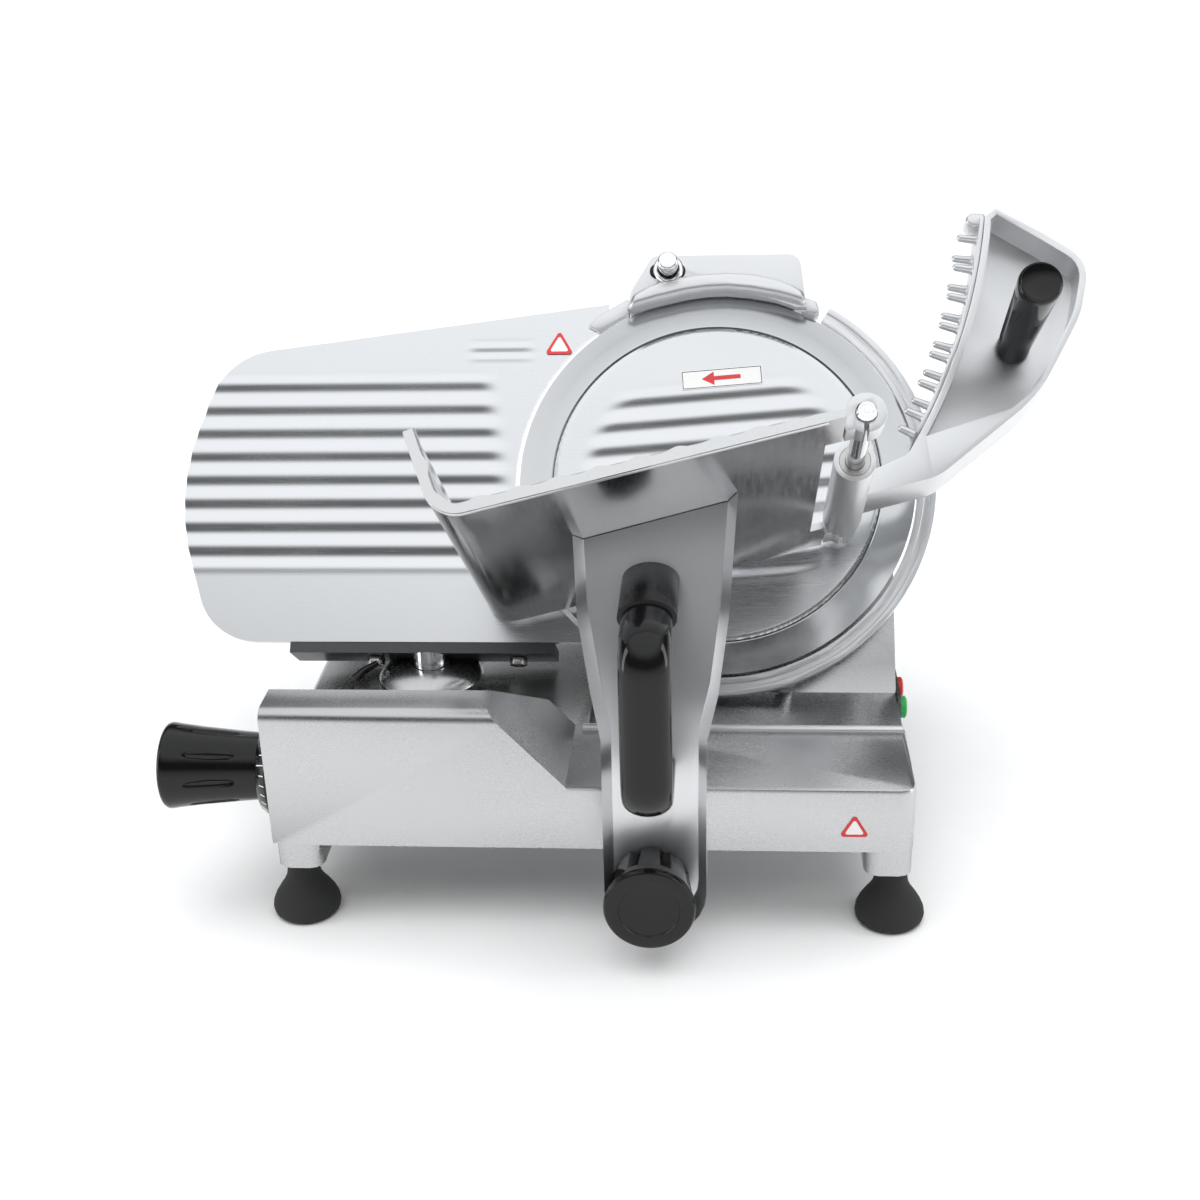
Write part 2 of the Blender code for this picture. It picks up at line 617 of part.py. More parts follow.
def belt_path(big, small):
    """Outline round the blade pulley and the motor pulley."""
    reach = math.hypot(MOTOR_X, MOTOR_V)
    heading = math.degrees(math.atan2(MOTOR_V, MOTOR_X))
    half = math.degrees(math.acos((big - small) / reach))
    points = arc(0, 0, big, heading + half, heading + 360 - half, 30)
    points += arc(MOTOR_X, MOTOR_V, small, heading - half, heading + half, 12)
    return points


def rear_parts(root, tilt):
    y = BASE_Y1 + GAP
    plate = box_bm((14, y, 104), (104, y + 2, 180))
    round_edges(plate, 6.0, 3, lambda e: abs(e.verts[0].co.y - e.verts[1].co.y) > 1.0)
    cover = piece("rear_cover", plate, root, "plate")
    for i in range(6):
        z = 118 + i * 9.0
        slot = box_bm((34, y - 5, z), (84, y + 8, z + 4))
        cut(cover, guide(f"vent_{i}", slot, root))
    for i, (x, z) in enumerate(((22, 172), (96, 172), (22, 112), (96, 112))):
        if i in (0, 3):
            head = rod_bm(4.0, y + 2 + GAP, y + 4.5, (0, 1, 0), (x, 0, z), 12)
            piece(f"rear_cover_screw_{i // 2 + 1}", head, root, "steel")
    bm = turned_bm([(0.0, -9.0), (6.8, -9.0), (6.8, GAP), (11.0, GAP), (11.0, 6.0), (7.5, 9.0),
                    (6.5, 20.0), (0.0, 20.0)], (0, 1, 0), (GLAND_X, BASE_Y1, SWITCH_Z), 24)
    piece("cable_gland", bm, root, "black")
    fan = arc(0, 0, 70, 140, 250, 14) + arc(0, 0, 110, 250, 140, 18)
    bm = prism_bm(fan, -HOUSE_FRONT + GAP, -HOUSE_FRONT + 2.3, on_blade)
    deflector = piece("slice_deflector", bm, tilt, "plate")
    tab = box_bm((-80, -34, -HOUSE_FRONT + GAP), (HOUSE_X0 + 12, 10, -HOUSE_FRONT + 2.3))
    add(deflector, guide("deflector_tab", tab, tilt))


def switches(root):
    x = BASE_X1 + GAP
    plate = box_bm((x, SWITCH_Y - 27, SWITCH_Z - 12), (x + 2, SWITCH_Y + 27, SWITCH_Z + 12))
    round_edges(plate, 5.0, 3, lambda e: abs(e.verts[0].co.x - e.verts[1].co.x) > 1.0)
    plate = piece("switch_plate", plate, root, "painted")
    for name, side, colour in (("start_button", -1, "green"), ("stop_button", 1, "red")):
        y = SWITCH_Y + side * SWITCH_PITCH / 2
        hole = rod_bm(SWITCH_R + 0.5, x - 4, x + 6, (1, 0, 0), (0, y, SWITCH_Z))
        cut(plate, guide(f"{name}_hole", hole, root))
        cap = turned_bm([(0.0, -7.0), (SWITCH_R, -7.0), (SWITCH_R, 5.5), (SWITCH_R - 1.5, 6.5),
                         (0.0, 6.5)], (1, 0, 0), (0, 0, 0), 24)
        piece(name, cap, root, colour, (x + 0.2, y, SWITCH_Z))


# ---- slice thickness --------------------------------------------------------

def thickness_setting(root, tilt):
    axis = frame("thickness_axis", (0, KNOB_Y, KNOB_Z), root)
    face = BASE_X0 - GAP
    dial = [(KNOB_SHAFT_R + RUN, 0.0), (DIAL_R, 0.0), (DIAL_R, 2.0), (KNOB_R + 0.5, DIAL_T),
            (KNOB_SHAFT_R + RUN, DIAL_T)]
    piece("thickness_dial", turned_bm(dial, (-1, 0, 0), (face, 0, 0)), axis, "black")
    start = DIAL_T + GAP
    knob = [(0.0, start + 14), (KNOB_SHAFT_R + RUN, start + 14), (KNOB_SHAFT_R + RUN, start),
            (21.0, start), (23.5, start + 20), (KNOB_R, start + KNOB_L - 4),
            (KNOB_R - 2, start + KNOB_L), (0.0, start + KNOB_L)]
    piece("thickness_knob", turned_bm(knob, (-1, 0, 0), (face, 0, 0)), axis, "black")
    shaft = rod_bm(KNOB_SHAFT_R, face - DIAL_T - 13, CAM_X + CAM_T, (1, 0, 0), segments=24)
    piece("thickness_shaft", shaft, axis, "steel")
    steps = 60
    outline = []
    for i in range(steps + 1):
        turn = CAM_TURN * i / steps
        radius = CAM_R0 + CAM_RISE * i / steps
        angle = math.radians(-turn)
        outline.append((radius * math.cos(angle), radius * math.sin(angle)))
    cam = piece("thickness_cam", prism_bm(outline, CAM_X - CAM_T / 2, CAM_X + CAM_T / 2, along_x),
                axis, "brass")
    bore = rod_bm(KNOB_SHAFT_R + RUN, CAM_X - CAM_T, CAM_X + CAM_T, (1, 0, 0), segments=24)
    cut(cam, guide("cam_bore", bore, axis))

    gauge = frame("gauge_slide", (0, 0, 0), root)
    rod_y = GAUGE_ROD_Y
    piece("gauge_guide_rod", rod_bm(GAUGE_ROD_R, *rod_y, (0, 1, 0), (GAUGE_X, 0, GAUGE_ROD_Z)),
          root, "steel")
    block = box_bm((CAM_X - 5, GAUGE_Y - 25, GAUGE_ROD_Z - 11),
                   (GAUGE_X + 20, GAUGE_Y + 20, GAUGE_ROD_Z + 11.5))
    block = piece("gauge_slide_block", block, gauge, "cast")
    roller_y = KNOB_Y + CAM_R0 + CAM_ROLLER_R + GAP
    nose = box_bm((CAM_X - 4, roller_y + 3, KNOB_Z - 8), (CAM_X + 4, GAUGE_Y - 20, KNOB_Z - 3))
    add(block, guide("slide_nose", nose, gauge))
    bore = rod_bm(GAUGE_ROD_R + RUN, rod_y[0] - 5, rod_y[1] + 5, (0, 1, 0),
                  (GAUGE_X, 0, GAUGE_ROD_Z))
    cut(block, guide("slide_bore", bore, gauge))
    roller = rod_bm(CAM_ROLLER_R, CAM_X - 5, CAM_X + 5, (1, 0, 0), (0, roller_y, KNOB_Z), 20)
    cut_low = box_bm((CAM_X - 9, roller_y, KNOB_Z - 9), (CAM_X + 9, roller_y + 9, KNOB_Z - 2.7))
    roller = piece("cam_follower", roller, gauge, "steel")
    cut(roller, guide("follower_seat", cut_low, gauge))
    base = GAUGE_ROD_Z + 11.5 + GAP
    column = piece("gauge_column", rod_bm(COLUMN_R, base, BLADE_Z - 68.5, at=(GAUGE_X, GAUGE_Y, 0)),
                   gauge, "chrome")
    under_bar = GAUGE_BOTTOM - 0.5 - BAR_T
    above = box_bm((GAUGE_X - 40, under_bar - GAP, -60), (GAUGE_X + 40, under_bar + 60, 60))
    cut(column, guide("column_top_plane", above, tilt))
    bar = box_bm((BAR_X0, under_bar, -GAUGE_DROP - 1 - BAR_D), (BAR_X1, GAUGE_BOTTOM - GAP,
                                                               -GAUGE_DROP - 1))
    lean = leaning("gauge_lean", gauge)
    piece("gauge_bar", bar, lean, "painted")
    gauge_plate(lean)


def gauge_plate(lean):
    corners = [(GAUGE_RIGHT, GAUGE_TOP, 0), (-322, GAUGE_TOP - 34, 46),
               (GAUGE_LEFT - 6, -8, 150), (-319, GAUGE_BOTTOM, 40), (-60, GAUGE_BOTTOM, 0)]
    outline = rounded(corners, 10)
    bm = prism_bm(outline, -GAUGE_DROP - GAUGE_T, -GAUGE_DROP, on_blade)
    plate = piece("gauge_plate", bm, lean, "plate")
    round_hole = rod_bm(BLADE_R + 3.0, -30, 30, segments=96)
    cut(plate, guide("gauge_arc", round_hole, lean))


# ---- carriage ---------------------------------------------------------------

def tray_point(s, t):
    """A point s along the tray floor and t above it, in the blade plane."""
    x0, v0 = TRAY_CORNER
    return (x0 + s * math.cos(SLOPE) - t * math.sin(SLOPE),
            v0 + s * math.sin(SLOPE) + t * math.cos(SLOPE))


def carriage(root):
    slide = frame("carriage_slide", (0, 0, 0), root)
    x0, x1 = BLOCK_X
    bm = box_bm((x0, CARRIAGE_ROD_Y - 11, 38), (x1, CARRIAGE_ROD_Y + 11, CARRIAGE_ROD_Z + 8))
    block = piece("carriage_block", bm, slide, "cast")
    toe = box_bm((x0 + 8, ARM_FRONT + ARM_DEPTH + GAP, 38), (x1 - 8, CARRIAGE_ROD_Y, 54))
    add(block, guide("block_toe", toe, slide))
    tail = box_bm((x0 + 20, CARRIAGE_ROD_Y, 42), (x1 - 20, RAIL_Y + 6, RAIL_Z - RAIL_R - GAP))
    add(block, guide("block_tail", tail, slide))
    bore = rod_bm(CARRIAGE_ROD_R + 1.5 + GAP, x0 - 5, x1 + 5, (1, 0, 0),
                  (0, CARRIAGE_ROD_Y, CARRIAGE_ROD_Z))
    cut(block, guide("block_bore", bore, slide))
    stud_bore = rod_bm(STUD_R + RUN, ARM_FRONT, CARRIAGE_ROD_Y - 8, (0, 1, 0),
                       (LOCK_X, 0, LOCK_Z), 20)
    cut(block, guide("block_stud_hole", stud_bore, slide))
    bush = [(CARRIAGE_ROD_R + RUN, x0), (CARRIAGE_ROD_R + 1.5, x0), (CARRIAGE_ROD_R + 1.5, x1),
            (CARRIAGE_ROD_R + RUN, x1)]
    piece("carriage_bush", turned_bm(bush, (1, 0, 0), (0, CARRIAGE_ROD_Y, CARRIAGE_ROD_Z), 24),
          slide, "brass")
    ends = (BASE_X0 + LEG_W + 1, BASE_X1 - LEG_W - 1)
    piece("carriage_rod", rod_bm(CARRIAGE_ROD_R, *ends, (1, 0, 0),
                                 (0, CARRIAGE_ROD_Y, CARRIAGE_ROD_Z), 24), root, "steel")
    rail_ends = (BASE_X0 + WALL + GAP, BASE_X1 - WALL - GAP)
    piece("carriage_rail", rod_bm(RAIL_R, *rail_ends, (1, 0, 0), (0, RAIL_Y, RAIL_Z), 16),
          root, "steel")
    lean = leaning("carriage_lean", slide)
    tray(lean)
    arm(slide, lean)
    handle(slide)
    rod = rod_bm(ROD_R, ROD_FAR, ROD_NEAR, at=(*ROD_XV, 0), segments=24)
    piece("pusher_rod", rod, lean, "chrome")
    for name, (near, far) in (("rod_lug_far", LUG_FAR), ("rod_lug_near", LUG_NEAR)):
        lug(name, near, far, lean)
    lock = frame("carriage_lock", (LOCK_X, 0, LOCK_Z), slide)
    back = ARM_FRONT + ARM_POCKET - GAP
    profile = [(0.0, CARRIAGE_ROD_Y - 9), (STUD_R, CARRIAGE_ROD_Y - 9), (STUD_R, back),
               (LOCK_BACK_R, back), (LOCK_R - 1, LOCK_FACE + 5), (LOCK_R, LOCK_FACE + 3),
               (LOCK_R - 1.5, LOCK_FACE), (0.0, LOCK_FACE)]
    piece("carriage_lock_knob", turned_bm(profile, (0, 1, 0)), lock, "black")
    return lean


def tray(lean):
    top = Vector(TRAY_WALL_END)
    corner = Vector(TRAY_CORNER)
    wall = (top - corner).normalized()
    outward = Vector((-wall.y, wall.x))
    if outward.x > 0:
        outward = -outward
    under = Vector((math.sin(SLOPE), -math.cos(SLOPE)))
    end = Vector(tray_point(TRAY_FLOOR, 0))
    half = (outward + under).normalized()
    outer_corner = corner + half * TRAY_T / half.dot(under)
    outline = [end, corner, top, top + outward * TRAY_T, outer_corner, end + under * TRAY_T]
    bm = prism_bm([tuple(p) for p in outline], TRAY_FAR, TRAY_NEAR, on_blade)
    ob = piece("product_tray", bm, lean, "cast")
    for i, (near, far) in enumerate((LUG_FAR, LUG_NEAR)):
        ear = [tray_point(TRAY_FLOOR - 5, -0.4), tray_point(TRAY_FLOOR + 9, -0.4),
               tray_point(TRAY_FLOOR + 9, 0.4 - TRAY_T), tray_point(TRAY_FLOOR - 5, 0.4 - TRAY_T)]
        low = near - 4 if i else TRAY_FAR + 0.4
        high = TRAY_NEAR - 0.4 if i else far + 8
        add(ob, guide(f"tray_ear_{i}", prism_bm(ear, low, high, on_blade), lean))


def lug(name, near, far, lean):
    ring = rod_bm(LUG_R, near, far, at=(*ROD_XV, 0), segments=28)
    ob = piece(name, ring, lean, "cast")
    reach = math.hypot(ROD_XV[0] - tray_point(TRAY_FLOOR, 0)[0],
                       ROD_XV[1] - tray_point(TRAY_FLOOR, 0)[1])
    web = [tray_point(TRAY_FLOOR + 9 + GAP, 1.0), tray_point(TRAY_FLOOR + reach, 1.0),
           tray_point(TRAY_FLOOR + reach, -TRAY_T - 1), tray_point(TRAY_FLOOR + 9 + GAP, -TRAY_T - 1)]
    add(ob, guide(f"{name}_web", prism_bm(web, near, far, on_blade), lean))
    bore = rod_bm(ROD_R + RUN, near - 5, far + 5, at=(*ROD_XV, 0), segments=24)
    cut(ob, guide(f"{name}_bore", bore, lean))


def arm_front(z):
    return ARM_FRONT + max(0.0, z - ARM_BEND_Z) * ARM_LEAN


def arm(slide, lean):
    """Dished casting from the tray down to the lock knob, open to the front."""
    (top_x0, top_x1), top_z = ARM_TOP
    middle = (ARM_X0 + ARM_X1) / 2
    half = (ARM_X1 - ARM_X0) / 2
    left = [(ARM_X0, ARM_FOOT_Z), (ARM_X0, 90.0), (ARM_X0 + 0.5, ARM_BEND_Z), (-65.5, 163.0),
            (-73.0, 200.0), (top_x0, top_z)]
    right = [(ARM_X1, ARM_FOOT_Z), (ARM_X1, 90.0), (ARM_X1 + 0.5, ARM_BEND_Z), (2.5, 163.0),
             (8.0, 200.0), (top_x1, top_z)]
    low = arc(middle, ARM_FOOT_Z, half, 180, 360, 13)[1:-1]
    outline = left[::-1] + low + right
    bm = bmesh.new()
    front = [bm.verts.new((x, arm_front(z), z)) for x, z in outline]
    back = [bm.verts.new((x, arm_front(z) + ARM_DEPTH, z)) for x, z in outline]
    count = len(outline)
    for i in range(count):
        j = (i + 1) % count
        bm.faces.new((front[i], front[j], back[j], back[i]))
    last = len(left) - 1
    levels = [(k, count - 1 - k) for k in range(len(left))]
    dish = []
    for (a, b), (c, d) in zip(levels, levels[1:]):
        dish.append(bm.faces.new((front[a], front[c], front[d], front[b])))
        bm.faces.new((back[a], back[b], back[d], back[c]))
    dish.append(bm.faces.new([front[i] for i in range(last, count - last)]))
    bm.faces.new([back[i] for i in range(last, count - last)][::-1])
    bmesh.ops.recalc_face_normals(bm, faces=bm.faces)
    bmesh.ops.inset_region(bm, faces=dish, thickness=ARM_RIM, use_even_offset=True)
    inner = {v for f in dish for v in f.verts}
    bmesh.ops.translate(bm, vec=(0, ARM_POCKET, 0), verts=list(inner))
    ob = piece("carriage_arm", bm, slide, "cast")
    under = [tray_point(-150, -TRAY_T - GAP), tray_point(350, -TRAY_T - GAP),
             tray_point(350, 150), tray_point(-150, 150)]
    cut(ob, guide("arm_top_plane", prism_bm(under, -50, 500, on_blade), lean))
    hole = rod_bm(STUD_R + RUN, ARM_FRONT, ARM_FRONT + ARM_DEPTH + 5, (0, 1, 0),
                  (LOCK_X, 0, LOCK_Z), 20)
    cut(ob, guide("arm_stud_hole", hole, slide))


def handle(slide):
    """D-shaped grip on two posts in front of the arm."""
    low_z, high_z = HANDLE_Z
    path = [(arm_front(low_z) + ARM_POCKET - GAP, low_z), (HANDLE_FRONT, low_z),
            (HANDLE_FRONT, high_z), (arm_front(high_z) + ARM_POCKET - GAP, high_z)]
    bm = bmesh.new()
    rings = []
    segments = 16
    stations = [path[0], *bend(*path[:3], HANDLE_BEND), *bend(*path[1:], HANDLE_BEND), path[3]]
    for i, (y, z) in enumerate(stations):
        before = Vector(stations[max(i - 1, 0)])
        after = Vector(stations[min(i + 1, len(stations) - 1)])
        tangent = (after - before).normalized()
        if i == 0 or i == len(stations) - 1:
            tangent = Vector((-1.0, 0.0)) if i == 0 else Vector((1.0, 0.0))
        side = Vector((-tangent.y, tangent.x))
        ring = []
        for k in range(segments):
            t = math.tau * k / segments
            off = side * HANDLE_THIN_R * math.sin(t)
            if i == len(stations) - 1:
                off = Vector((off.y * ARM_LEAN, off.y))
            ring.append(bm.verts.new((HANDLE_X + HANDLE_R * math.cos(t), y + off.x, z + off.y)))
        rings.append(ring)
    for a, b in zip(rings, rings[1:]):
        for k in range(segments):
            m = (k + 1) % segments
            bm.faces.new((a[k], a[m], b[m], b[k]))
    bm.faces.new(rings[0][::-1])
    bm.faces.new(rings[-1])
    piece("tray_handle", bm, slide, "black")


def bend(a, b, c, radius, count=5):
    """Round corner at b between a and c, as a list of points."""
    here = Vector(b)
    before = (Vector(a) - here).normalized()
    after = (Vector(c) - here).normalized()
    centre = here + (before + after) * radius
    points = []
    for i in range(count + 1):
        t = math.pi / 2 * i / count
        points.append(tuple(centre - after * radius * math.cos(t) - before * radius * math.sin(t)))
    return points


# ---- pusher -----------------------------------------------------------------

def pusher(lean):
    run = frame("pusher_slide", parent=lean)
    x, v = ROD_XV
    bush = [(ROD_R + RUN, SLEEVE[0]), (BUSH_R, SLEEVE[0]), (BUSH_R, SLEEVE[1]),
            (ROD_R + RUN, SLEEVE[1])]
    piece("pusher_bush", turned_bm(bush, at=(x, v, 0), segments=24), run, "brass")
    swing = frame("pusher_swing", (x, v, 0), run)
    toothed = [(*spike_line(i / SPIKE_STEPS)[0], 0) for i in range(SPIKE_STEPS + 1)]
    outline = rounded(PUSHER_SIDE + toothed, 5)
    bm = prism_bm(outline, PUSHER_D[0], PUSHER_D[1], on_blade)
    ob = piece("pusher_arm", bm, swing, "cast")
    inner = shrink(outline, -PUSHER_RIM)
    inner = [p for p in inner if p[0] > 46 and p[1] > 34]
    pocket = prism_bm(inner, PUSHER_D[1] - PUSHER_POCKET, PUSHER_D[1] + 5, on_blade)
    cut(ob, guide("pusher_pocket", pocket, swing))
    add(ob, guide("pusher_sleeve", rod_bm(SLEEVE_R, *SLEEVE, segments=28), swing))
    bore = rod_bm(BUSH_R + RUN, SLEEVE[0] - 30, SLEEVE[1] + 5, segments=28)
    cut(ob, guide("pusher_bore", bore, swing))
    spikes(swing)
    grip_x, grip_v = GRIP_XV[0] - x, GRIP_XV[1] - v
    floor = PUSHER_D[1] - PUSHER_POCKET + GAP
    r0, r1 = GRIP_R
    grip = [(0.0, floor), (r0, floor), (r1, GRIP_D[1] - 3), (r1 - 1.5, GRIP_D[1]),
            (0.0, GRIP_D[1])]
    piece("pusher_handle", turned_bm(grip, at=(grip_x, grip_v, 0), segments=32), swing, "black")


def shrink(points, distance):
    """Moves each point of an outline along its mean normal, inwards if it runs clockwise
    and the distance is negative."""
    out = []
    total = len(points)
    for i, point in enumerate(points):
        here = Vector(point)
        before = (here - Vector(points[i - 1])).normalized()
        after = (Vector(points[(i + 1) % total]) - here).normalized()
        normal = Vector((-before.y - after.y, before.x + after.x)).normalized()
        out.append(tuple(here + normal * distance))
    return out


def spike_line(t, off=0.0):
    """Curve of the pusher's toothed side, 0 at the sleeve and 1 at the tip."""
    low, middle, high = (Vector(point) for point in SPIKE_CURVE)
    here = low * (1 - t) ** 2 + middle * 2 * t * (1 - t) + high * t ** 2
    along_line = ((middle - low) * (1 - t) + (high - middle) * t).normalized()
    normal = Vector((-along_line.y, along_line.x))
    return here + normal * off, normal


def spikes(swing):
    """Thin toothed plate on the side of the pusher that grips the food."""
    stations = [i / SPIKE_STEPS for i in range(SPIKE_STEPS + 1)]
    inner = [tuple(spike_line(t, GAP)[0]) for t in stations]
    outer = [tuple(spike_line(t, GAP + SPIKE_PLATE_T)[0]) for t in reversed(stations)]
    low, high = PUSHER_D[0] + 1, PUSHER_D[1] - 1
    plate = piece("spike_plate", prism_bm(inner + outer, low, high, on_blade), swing, "cast")
    number = 0
    for row, level in enumerate((low + 9, high - 9)):
        for i in range(6):
            t = (i + 0.5 + 0.3 * row) / 6.4
            here, normal = spike_line(t, GAP + SPIKE_PLATE_T - SPIKE_SINK)
            tooth = rod_bm(SPIKE_R, 0.0, SPIKE_L, (normal.x, normal.y, 0),
                           (here.x, here.y, level), 8, SPIKE_TIP_R)
            add(plate, guide(f"spike_{number}", tooth, swing))
            number += 1


# ---- sharpener --------------------------------------------------------------

def sharpener(root, tilt):
    lift = frame("sharpener_lift", parent=tilt)
    (x0, x1), (v0, v1), (d0, d1) = SHARP_X, SHARP_V, SHARP_D
    corners = [(x0 - 2, v0, 0), (x0 + 0.5, v0 + 13, 8), (x0 + 14, v1, 5), (x1 - 4, v1, 8),
               (x1, v0, 0)]
    bm = prism_bm(rounded(corners[::-1], 4), d0, d1, on_blade)
    ob = piece("sharpener_housing", bm, lift, "cast")
    inside = box_bm((x0 + SHARP_WALL + 4, v0 - 10, d0 + SHARP_WALL),
                    (x1 - SHARP_WALL - 2, v1 - SHARP_ROOF, d1 - SHARP_WALL))
    cut(ob, guide("sharpener_inside", inside, lift))
    slot = rod_bm(BLADE_R + 2.5, -HOUSE_FRONT + 6, d1 - SHARP_WALL, segments=96)
    cut(ob, guide("sharpener_blade_slot", slot, lift))
    lip = rod_bm(SHARP_LIP_R, -HOUSE_FRONT + 6, d1 + 5, segments=96)
    cut(ob, guide("sharpener_lip", lip, lift))
    for name, out in (("deburr_button", 1), ("grind_button", -1)):
        x = -out * BUTTON_X
        wall_d = (d1 - SHARP_WALL, d1) if out > 0 else (d0, d0 + SHARP_WALL)
        hole = rod_bm(STEM_R + RUN, wall_d[0] - 3, wall_d[1] + 3, at=(x, BUTTON_V, 0), segments=16)
        cut(ob, guide(f"{name}_hole", hole, lift))
        outside = d1 if out > 0 else -d0
        inside_wall = outside - SHARP_WALL
        cap = outside + BUTTON_TRAVEL + 1.0
        profile = [(0.0, inside_wall - STONE_T), (STONE_R, inside_wall - STONE_T),
                   (STONE_R, inside_wall - GAP), (STEM_R, inside_wall - GAP), (STEM_R, cap),
                   (BUTTON_R, cap), (BUTTON_R, cap + BUTTON_L - 1), (BUTTON_R - 1, cap + BUTTON_L),
                   (0.0, cap + BUTTON_L)]
        bm = turned_bm(profile, (0, 0, out), (0, 0, 0), 24)
        piece(name, bm, frame(f"{name}_axis", (x, BUTTON_V, 0), lift), "chrome")
    low = HOUSE_TOP + GAP
    post = box_bm((-POST_X, low, d0), (POST_X, v0 - GAP, -HOUSE_FRONT - 1))
    piece("sharpener_post", round_edges(post, 2.0, 2), tilt, "cast")
    clamp = frame("sharpener_clamp_axis", (0, (low + v0) / 2, 0), tilt)
    profile = [(0.0, -d0 + GAP), (6.0, -d0 + GAP), (6.0, -d0 + 5), (CLAMP_R, -d0 + 6),
               (CLAMP_R, -d0 + 16), (CLAMP_R - 2, -d0 + 18), (0.0, -d0 + 18)]
    piece("sharpener_clamp_knob", turned_bm(profile, (0, 0, -1), segments=24), clamp, "black")


def centre_on_table(root):
    """Puts the origin on the table under the middle of the whole slicer."""
    bpy.context.view_layer.update()
    depsgraph = bpy.context.evaluated_depsgraph_get()
    low = Vector((1e9,) * 3)
    high = Vector((-1e9,) * 3)
    for ob in bpy.data.objects:
        if ob.type != "MESH" or ob.hide_render:
            continue
        solid = ob.evaluated_get(depsgraph)
        for vert in solid.data.vertices:
            point = solid.matrix_world @ vert.co
            low = Vector(map(min, low, point))
            high = Vector(map(max, high, point))
    root.location = (-(low.x + high.x) / 2, -(low.y + high.y) / 2, -low.z)
    bpy.context.view_layer.update()


def main():
    clear_scene()
    root = frame("slicer")
    tilt = leaning("blade_frame", root)
    base_casting(root, tilt)
    feet(root)
    bottom_cover(root)
    blade_group(root, tilt)
    drive(tilt)
    rear_parts(root, tilt)
    switches(root)
    thickness_setting(root, tilt)
    pusher(carriage(root))
    sharpener(root, tilt)
    centre_on_table(root)


main()
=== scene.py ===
"""Looks of a gravity-feed deli meat slicer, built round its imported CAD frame."""
import json
import math
from contextlib import contextmanager

import bmesh
import bpy
from mathutils import Matrix, Vector

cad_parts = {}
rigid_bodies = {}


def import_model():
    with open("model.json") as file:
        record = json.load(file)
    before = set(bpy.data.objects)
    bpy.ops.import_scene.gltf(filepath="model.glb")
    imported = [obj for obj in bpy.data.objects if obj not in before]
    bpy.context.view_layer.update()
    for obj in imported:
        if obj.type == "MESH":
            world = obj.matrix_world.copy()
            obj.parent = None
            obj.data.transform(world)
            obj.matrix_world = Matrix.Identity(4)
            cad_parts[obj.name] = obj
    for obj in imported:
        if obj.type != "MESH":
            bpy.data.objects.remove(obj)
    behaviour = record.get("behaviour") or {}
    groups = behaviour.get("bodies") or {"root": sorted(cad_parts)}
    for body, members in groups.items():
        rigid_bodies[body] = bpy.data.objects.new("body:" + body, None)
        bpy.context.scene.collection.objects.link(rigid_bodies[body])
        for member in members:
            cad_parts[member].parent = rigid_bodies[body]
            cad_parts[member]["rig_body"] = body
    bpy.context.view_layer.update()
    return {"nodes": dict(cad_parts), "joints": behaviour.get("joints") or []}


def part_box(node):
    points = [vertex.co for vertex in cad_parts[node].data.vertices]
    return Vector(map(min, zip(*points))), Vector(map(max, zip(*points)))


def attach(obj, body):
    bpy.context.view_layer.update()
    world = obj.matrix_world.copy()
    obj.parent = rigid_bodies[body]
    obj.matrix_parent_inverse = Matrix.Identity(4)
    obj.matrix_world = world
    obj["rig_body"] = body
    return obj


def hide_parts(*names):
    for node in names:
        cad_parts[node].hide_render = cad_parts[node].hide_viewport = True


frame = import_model()

bl_info = {
    "name": "Deli Slicer",
    "version": (1, 0, 0),
    "blender": (4, 5, 0),
    "location": "3D View > Sidebar > Slicer",
    "description": "Models the visible pieces and finishes of a deli meat slicer",
    "category": "Object",
}

MM = 0.001
JOINTS = {joint["name"]: joint for joint in frame["joints"]}

# The blade frame: its origin is the middle of the cutting plane, local X is world X,
# local Y runs up the blade and local Z leaves it towards the operator.
MIDDLE = Vector(JOINTS["blade_spin"]["pos_m"])
OUT = Vector(JOINTS["blade_spin"]["axis"])
UP = OUT.cross(Vector((1.0, 0.0, 0.0)))
LEAN_ANGLE = math.atan2(UP.z, UP.y)
LEAN = Matrix.Translation(MIDDLE) @ Matrix.Rotation(LEAN_ANGLE, 4, "X")
UPRIGHT = Matrix.Translation((MIDDLE.x, MIDDLE.y, 0.0))
FACE_FRONT = Matrix.Rotation(math.pi / 2, 4, "X")
KNOB = Vector(JOINTS["thickness_turn"]["pos_m"])
PUSHER = Vector(JOINTS["pusher_swing"]["pos_m"])

# Places in the blade frame, in millimetres.
ROD_X, ROD_V = 76.0, -35.2
GRIP_X, GRIP_V = 178.5, 66.0
COVER_TILT = math.radians(4.6)  # how far the cover's ribs and label are turned

FLUTE_R = 4.4                  # radius of a knob's finger recesses
SPIKE_R = 2.6                  # radius of a cast spike at its foot
SPIKES_IN_ROW = 7
DIAL_MARKS = 30

MERGE_M = 1e-6                 # points closer than this are one, in metres
GRAIN_DEPTH = 0.0002         # depth of the fine grain's bump, in metres


# ---- sizes and colours ------------------------------------------------------

